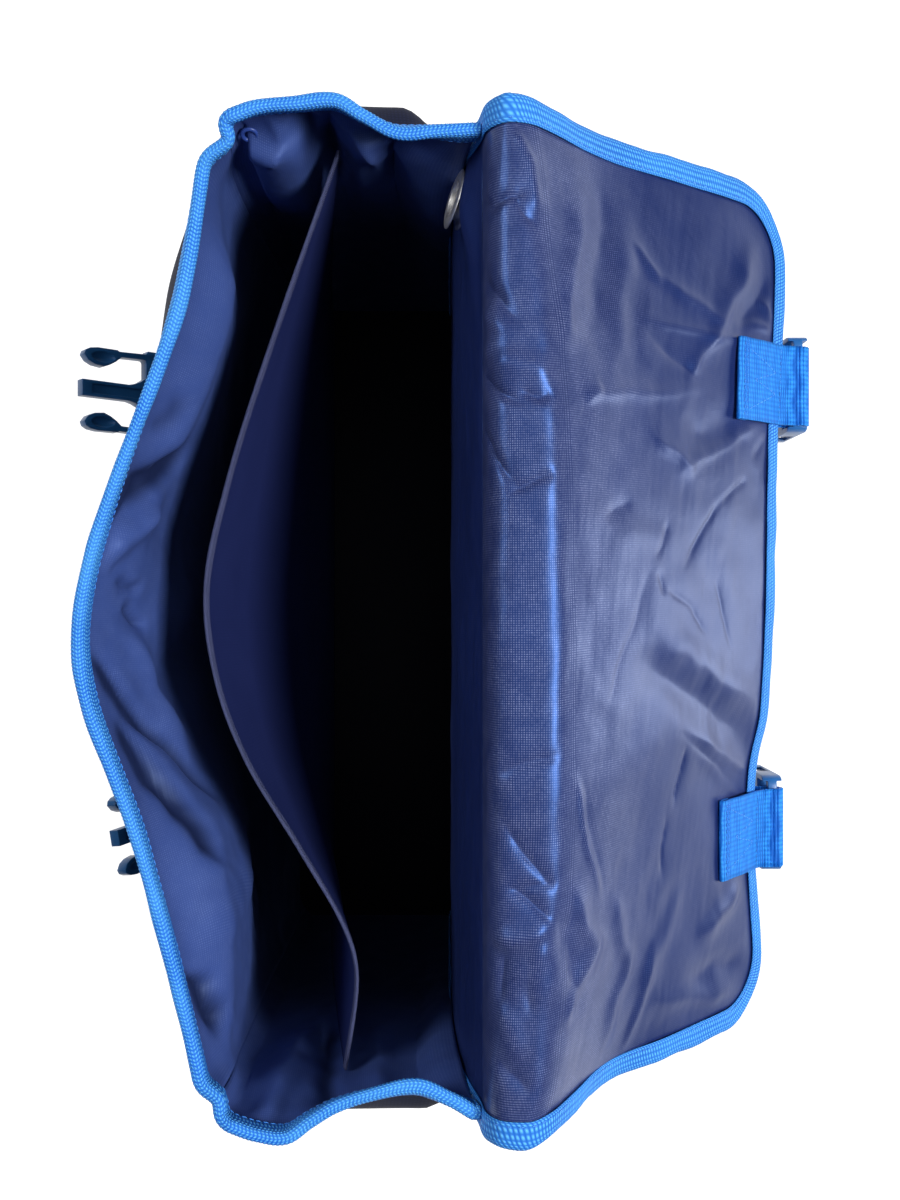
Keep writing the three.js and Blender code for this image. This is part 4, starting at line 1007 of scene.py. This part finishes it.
def layWebbing(rows, facing, reliefAt, sewn):
    # rows of points along a strap, each with the same count across; sewn: stretches of stitching
    wide, columns = webbing["width"], webbing["columns"]
    count = len(rows[0])
    length = evenPath([row[count // 2] for row in rows], 40)[1]
    steps = int(length / webbing["step"])
    paths = [evenPath([row[k] for row in rows], steps)[0] for k in range(count)]

    def place(u, v):
        return curveAt([path[round(u * steps)] for path in paths], v)

    bm, spots = wovenGrid(steps, columns, (length, wide))
    for vert, u, v in spots:
        vert.co = place(u, v) * mm
    bm.normal_update()
    first = min(spots, key=lambda spot: abs(spot[1] * length - webbing["faceAt"]) + abs(spot[2] - 0.5))[0]
    faceOut(bm, first.normal.dot(Vector(facing)))
    moves = []
    for vert, u, v in spots:
        x, y = u * length, v * wide
        dip = max((bell(math.dist((x, y), nearest(stretch, x, y)), webbing["dipWidth"]) for stretch in sewn), default=0)
        moves.append(vert.normal * mm * (reliefAt(x, length) - webbing["stitchDip"] * dip))
    normals = {(round(u * steps), round(v * columns)): vert.normal.copy() for vert, u, v in spots}
    moveSpots(bm, spots, moves)
    threads = bmesh.new()
    for x0, y0, x1, y1 in sewn:
        total = max(2, int(math.dist((x0, y0), (x1, y1)) / webbing["stitchPitch"]))
        shares = [(k + 0.5) / total for k in range(total)]
        line = [(mix(x0, x1, share) / length, mix(y0, y1, share) / wide) for share in shares]
        ups = [normals[(round(u * steps), round(v * columns))] for u, v in line]
        sewRow(threads, [place(u, v) + up * (webbing["thick"] / 2 - 0.1) for (u, v), up in zip(line, ups)], ups)
    return bm, threads, length


def webbingPiece(name, side, node, rows, facing, reliefAt, sewn):
    bm, threads, length = layWebbing(rows, facing, reliefAt, sewn)
    sheetPiece(name + "_webbing_" + side, bm, [webbingWeave], node + side, webbing["thick"])
    finishPiece(name + "_stitches_" + side, threads, [blueThread], None)


def acrossOffsets():
    return [mix(-0.5, 0.5, k / 4) * webbing["width"] for k in range(5)]


def crossRibs(at):
    return webbing["ribDepth"] * math.sin(2 * math.pi * at / webbing["ribPitch"])


# lift and low: how far the webbing stands off the flap, over its tape and past it
tabShape = {"sewn": 35, "reachOut": 12, "drop": 3, "lift": 3.6, "low": 2.9, "across": {"left": -107.5, "right": 107.5}}
socketShape = {"bar": 4.4, "slack": 1.3}


def tabRows(across):
    edge = clothAt(across, 1)
    bar = edge + Vector((0, tabShape["reachOut"], -tabShape["drop"]))
    offsets = acrossOffsets()
    lining = 1 if clothNormal(across, 0.9).z > 0 else -1
    lift, low = (tabShape[height] + webbing["thick"] / 2 for height in ("lift", "low"))
    radius = socketShape["bar"] / 2 + socketShape["slack"] + webbing["thick"] / 2

    def onFlap(distance, side, height):
        spots = [(across + offset, fromEdge(distance)) for offset in offsets]
        return [clothAt(*spot) + clothNormal(*spot) * side * height for spot in spots]

    rows = [onFlap(27, lining, low - 1.7), onFlap(33, lining, low - 1.7), onFlap(34.8, lining, low - 0.85),
            onFlap(33, lining, low), onFlap(26, lining, low), onFlap(18, lining, lift), onFlap(9, lining, lift),
            onFlap(1, lining, lift + 0.5)]  # the cut end is folded under
    for k in range(10):
        angle = mix(0.62, -0.62, k / 9) * math.pi
        rows.append([bar + Vector((offset, radius * math.cos(angle), radius * math.sin(angle))) for offset in offsets])
    rows += [onFlap(1, -lining, lift + 2.4), onFlap(9, -lining, lift + 0.6), onFlap(18, -lining, lift),
             onFlap(26, -lining, low), onFlap(tabShape["sewn"], -lining, low)]
    return rows


def tabPiece(side):
    wide = webbing["width"]
    sewn = [(along, 1.5, along, wide - 1.5) for along in (11.5, 14, 42)]
    sewn += [(16, 5, 38, 14), (38, 14, 20, wide / 2), (20, wide / 2, 38, wide - 14), (38, wide - 14, 16, wide - 5)]
    webbingPiece("flap_tab", side, "flap_tab_", tabRows(tabShape["across"][side]), (0, 0.7, 0.7),
                 lambda at, total: crossRibs(at) * mix(0.06, 1, soften(at, 45, total - 34, 5)), sewn)


for side in ("left", "right"):
    tabPiece(side)

plugShape = {"reach": 33, "tail": -20, "tailBar": 4.5, "thick": 5.5}
strapLift = 2.8  # off the front wall's middle
strapShape = {
    "left": {"across": -109.5, "sewnFrom": 62, "sewnTo": 120, "tip": (-130, 193), "pitch": 42, "yaw": 0},
    "right": {"across": 107.5, "sewnFrom": 62, "sewnTo": 104, "tip": (-117, 181), "pitch": 62, "yaw": 9},
}


def plugAxes(strap):
    up, turn = math.radians(strap["pitch"]), math.radians(strap["yaw"])
    tipwards = Vector((math.sin(turn) * math.cos(up), -math.cos(turn) * math.cos(up), math.sin(up)))
    sideways = Vector((math.cos(turn), math.sin(turn), 0))
    root = Vector((strap["across"], *strap["tip"])) - tipwards * plugShape["reach"]
    return root, sideways, tipwards, sideways.cross(tipwards)


def strapRows(strap):
    root, sideways, tipwards, faceUp = plugAxes(strap)
    lift = strapLift + webbing["thick"] / 2
    offsets = acrossOffsets()

    def onWall(z):
        share = (z - footZ) / (frontWall["rim"] - footZ)
        return [frontAt(strap["across"] + offset, share) - Vector((0, lift, 0)) for offset in offsets]

    rows = [onWall(mix(strap["sewnFrom"], strap["sewnTo"], k / 6)) for k in range(7)]
    bar = plugShape["tail"] + plugShape["tailBar"] / 2
    radius = plugShape["tailBar"] / 2 + socketShape["slack"] + webbing["thick"] / 2
    over = plugShape["thick"] / 2 + socketShape["slack"] + webbing["thick"] / 2

    def onPlug(along, height):
        return [root + sideways * offset + tipwards * along + faceUp * height for offset in offsets]

    under = onPlug(bar - 8, over)
    for k in range(1, 7):
        share = k / 6
        row = []
        for start, end in zip(rows[6], under):
            bend = Vector((start.x, start.y - 2, start.z + (end.z - start.z) * 0.7))
            row.append(start * (1 - share) ** 2 + bend * 2 * share * (1 - share) + end * share ** 2)
        rows.append(row)
    for k in range(7):
        angle = mix(0.5, -0.5, k / 6) * math.pi
        rows.append(onPlug(bar + radius * math.cos(angle), over * math.sin(angle)))
    return rows + [onPlug(bar - 3, -over), onPlug(bar - 7, -over)]


def strapPiece(side):
    wide = webbing["width"]
    top = strapShape[side]["sewnTo"] - strapShape[side]["sewnFrom"] - 4
    sewn = [(4, 2, 4, wide - 2), (top, 2, top, wide - 2), (4, 2, top, 2), (4, wide - 2, top, wide - 2),
            (4, 2, top, wide - 2), (4, wide - 2, top, 2)]
    webbingPiece("front_strap", side, "strap_", strapRows(strapShape[side]), (0, -1, 0),
                 lambda at, total: 0.3 * crossRibs(at), sewn)


for side in ("left", "right"):
    strapPiece(side)
print("webbing ready")


# hard pieces

def roundEdges(piece, width, segments=3):
    bevel = piece.modifiers.new("moulded_edges", "BEVEL")
    bevel.width = width * mm
    bevel.segments = segments
    bevel.profile = 0.5
    bevel.limit_method = "ANGLE"
    bevel.angle_limit = math.radians(35)
    bevel.harden_normals = False


def copyNode(node):
    bm = bmesh.new()
    bm.from_mesh(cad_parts[node].data)
    bmesh.ops.remove_doubles(bm, verts=bm.verts, dist=0.02 * mm)
    bmesh.ops.dissolve_limit(bm, angle_limit=math.radians(1), verts=bm.verts, edges=bm.edges)
    return bm


plugHollows = {"headAcross": 15.6, "headAlong": 22.3, "headSize": (2.7, 6.3, 2.2), "out": 3.4,
               "groove": (2.3, 17, 1.5), "grooveAlong": 11, "grooveOut": 2.75}


def plugCutter(strap):
    # dished hollows in both faces of the arm heads, and a groove along the tongue
    bm = bmesh.new()
    h = plugHollows
    for face in (-1, 1):
        for side in (-1, 1):
            bmesh.ops.create_uvsphere(bm, u_segments=28, v_segments=16, radius=1, matrix=Matrix.Translation(
                (side * h["headAcross"], h["headAlong"], face * h["out"])) @ Matrix.Diagonal((*h["headSize"], 1)))
        made = bmesh.ops.create_cube(bm, size=2, matrix=Matrix.Translation(
            (0, h["grooveAlong"], face * h["grooveOut"])) @ Matrix.Diagonal((*h["groove"], 1)))
        edges = list({edge for vert in made["verts"] for edge in vert.link_edges})
        bmesh.ops.bevel(bm, geom=edges, offset=0.7, segments=3, profile=0.5, affect="EDGES", material=-1)
    root, sideways, tipwards, faceUp = plugAxes(strap)
    turned = Matrix((sideways, tipwards, faceUp)).transposed().to_4x4()
    bmesh.ops.transform(bm, verts=bm.verts, matrix=Matrix.Scale(mm, 4) @ Matrix.Translation(root) @ turned)
    return bm


def carve(solid, cutter):
    # solid less cutter, as one mesh
    holders = [addObject("carving", meshOf("carving", bm)) for bm in (solid, cutter)]
    cut = holders[0].modifiers.new("hollows", "BOOLEAN")
    cut.object = holders[1]
    cut.operation = "DIFFERENCE"
    cut.solver = "EXACT"
    carved = bmesh.new()
    carved.from_object(holders[0], bpy.context.evaluated_depsgraph_get())
    for holder in holders:
        mesh = holder.data
        bpy.data.objects.remove(holder)
        bpy.data.meshes.remove(mesh)
    return carved


def mouldedPiece(part, bm, finish, rounding):
    piece = finishPiece("moulded_" + part, bm, [finish], part)
    roundEdges(piece, rounding)


for side in ("left", "right"):
    plug, socket = "buckle_plug_" + side, "buckle_socket_" + side
    mouldedPiece(plug, carve(copyNode(plug), plugCutter(strapShape[side])), buckleAcetal, 0.45)
    mouldedPiece(socket, copyNode(socket), paintedLighterAcetal, 0.6)

# base: stiff board in the outer cloth, lined above, with turned edges
baseBoard = {"backFrom": 0.04, "reachOut": 0.005, "rounding": 1.0}
baseMesh = copyNode("base_panel")
baseWeave = baseMesh.loops.layers.uv.new("weave")
for vert in baseMesh.verts:
    if vert.co.y > baseBoard["backFrom"]:
        vert.co.x += math.copysign(baseBoard["reachOut"], vert.co.x)  # meets the gussets' foot at the back
for face in baseMesh.faces:
    face.material_index = 1 if face.normal.z > 0.5 else 0
    for loop in face.loops:
        loop[baseWeave].uv = (loop.vert.co.x, loop.vert.co.y + loop.vert.co.z)
basePanel = finishPiece("base_board_cloth", baseMesh, [outerOxford, shadedBaseLining], "base_panel")
roundEdges(basePanel, baseBoard["rounding"])


def spunPiece(name, profile, steps, spot, axis, finish, node):
    # a closed profile of radius and height, spun about its own axis and turned into place
    bm = bmesh.new()
    verts = [bm.verts.new((radius, along, 0)) for radius, along in profile]
    edges = [bm.edges.new((a, b)) for a, b in zip(verts, verts[1:] + verts[:1])]
    bmesh.ops.spin(bm, geom=verts + edges, cent=(0, 0, 0), axis=(0, 1, 0), angle=2 * math.pi, steps=steps,
                   use_merge=True)
    bmesh.ops.remove_doubles(bm, verts=bm.verts, dist=0.001)
    bmesh.ops.recalc_face_normals(bm, faces=bm.faces)
    turned = Vector((0, 1, 0)).rotation_difference(axis).to_matrix().to_4x4()
    bmesh.ops.transform(bm, verts=bm.verts, matrix=Matrix.Scale(mm, 4) @ Matrix.Translation(spot) @ turned)
    finishPiece(name, bm, [finish], node)


# small ring rivet in the left gusset's loose lining
rivetShape = {"y": -37, "height": 270, "radius": 4, "hole": 2, "thick": 1, "lift": 10.5, "tilt": 0.9, "steps": 32}


def rivetPiece():
    r = rivetShape
    share = (r["height"] - footZ) / (gussetRim["height"] - footZ)
    spot = gussetAt(leftGusset, r["y"], share)
    wide = gussetAt(leftGusset, r["y"] + 3, share) - spot
    inward = wide.cross(gussetAt(leftGusset, r["y"], share + 0.01) - spot).normalized()
    if inward.x < 0:
        inward.negate()
    spot += inward * r["lift"]
    inward = (inward + Vector((0, 0, r["tilt"]))).normalized()  # the lining leans back there
    middle, half = mix(r["hole"], r["radius"], 0.5), (r["radius"] - r["hole"]) / 2
    turns = [k * math.pi / 6 for k in range(-1, 8)]
    profile = [(middle + half * math.cos(turn), r["thick"] * max(0, math.sin(turn)) - 0.3) for turn in turns]
    spunPiece("gusset_ring_rivet", profile, r["steps"], spot, inward, navyAcetal, "gusset_rivet")


rivetPiece()

# eyelet through the back wall, spun about its own axis
eyeletShape = {"hole": 7.4, "barrel": 8.1, "flange": 12.5, "washer": 11.6, "crown": 1.1, "face": 2.1, "steps": 64}


def eyeletPiece():
    e = eyeletShape
    lean = backFace(eyeletTilt["height"] + 1) - backFace(eyeletTilt["height"] - 1)
    outward = Vector((2 * eyeletTilt["turn"], 2, -lean - 2 * eyeletTilt["lean"])).normalized()
    profile = [(e["hole"], e["face"] + 1.0), (e["hole"], -e["face"] - e["crown"] * 0.5)]
    for k in range(1, 9):
        turn = k / 8 * math.pi
        profile.append((mix(e["hole"], e["flange"], (1 - math.cos(turn)) / 2),
                        -e["face"] - e["crown"] * mix(0.5, 0, k / 8) - e["crown"] * 0.6 * math.sin(turn)))
    profile += [(e["barrel"], -e["face"]), (e["barrel"], e["face"]), (e["washer"], e["face"]),
                (e["washer"], e["face"] + 0.7)]
    spunPiece("back_eyelet", profile, e["steps"], eyeletSpot, outward, nickelPlate, "eyelet")


eyeletPiece()
print("hard pieces ready")

# floor and light
floorMesh = bmesh.new()
bmesh.ops.create_grid(floorMesh, x_segments=4, y_segments=4, size=3)
bmesh.ops.translate(floorMesh, verts=floorMesh.verts, vec=(0, 0, -0.0003))
floorData = meshOf("studio_floor", floorMesh)
# matt paper, lit from below too, so shadows stay faint
studioPaper = newFinish("matt_white_paper", Roughness=0.9, Base_Color=colour("#8a8a8a"),
                        Emission_Color=colour("#ffffff"), Emission_Strength=0.95)[0]
floorData.materials.append(studioPaper)
floor = addObject("studio_floor", floorData)

studioLight = {"world": 0.07, "worldColour": "#eef4ff"}
world = bpy.data.worlds.new("soft_studio")
world.use_nodes = True
backdrop = world.node_tree.nodes["Background"]
backdrop.inputs["Color"].default_value = colour(studioLight["worldColour"])
backdrop.inputs["Strength"].default_value = studioLight["world"]
paleWall = addNode(world.node_tree, "Background", {"Color": colour("#ffffff")})
seenDirectly = addNode(world.node_tree, "LightPath", out="Is Camera Ray")
surround = addNode(world.node_tree, "MixShader", {0: seenDirectly, 1: backdrop.outputs[0], 2: paleWall})
world.node_tree.links.new(surround, world.node_tree.nodes["World Output"].inputs["Surface"])
bpy.context.scene.world = world

softBoxes = [
    {"name": "key_box", "place": (0.08, 1.05, 1.56), "aim": (0, 0, 0.26), "size": 0.45, "power": 33},
    {"name": "low_box", "place": (0.02, 0.7, 0.1), "aim": (0.01, 0.15, 0.2), "size": 0.2, "power": 0.75},
    {"name": "overhead_box", "place": (-0.2, 0.1, 2.0), "aim": (0, 0.1, 0.2), "size": 1.2, "power": 6},
    {"name": "front_box", "place": (-0.5, -1.0, 1.3), "aim": (-0.1, 0, 0.2), "size": 0.6, "power": 11},
]
for box in softBoxes:
    light = bpy.data.lights.new(box["name"], "AREA")
    light.shape = "SQUARE"
    light.size = box["size"]
    light.energy = box["power"]
    lamp = addObject(box["name"], light)
    lamp.location = box["place"]
    lamp.rotation_euler = (Vector(box["aim"]) - Vector(box["place"])).to_track_quat("-Z", "Y").to_euler()
bpy.context.scene.view_settings.view_transform = "Standard"
print("stage ready")
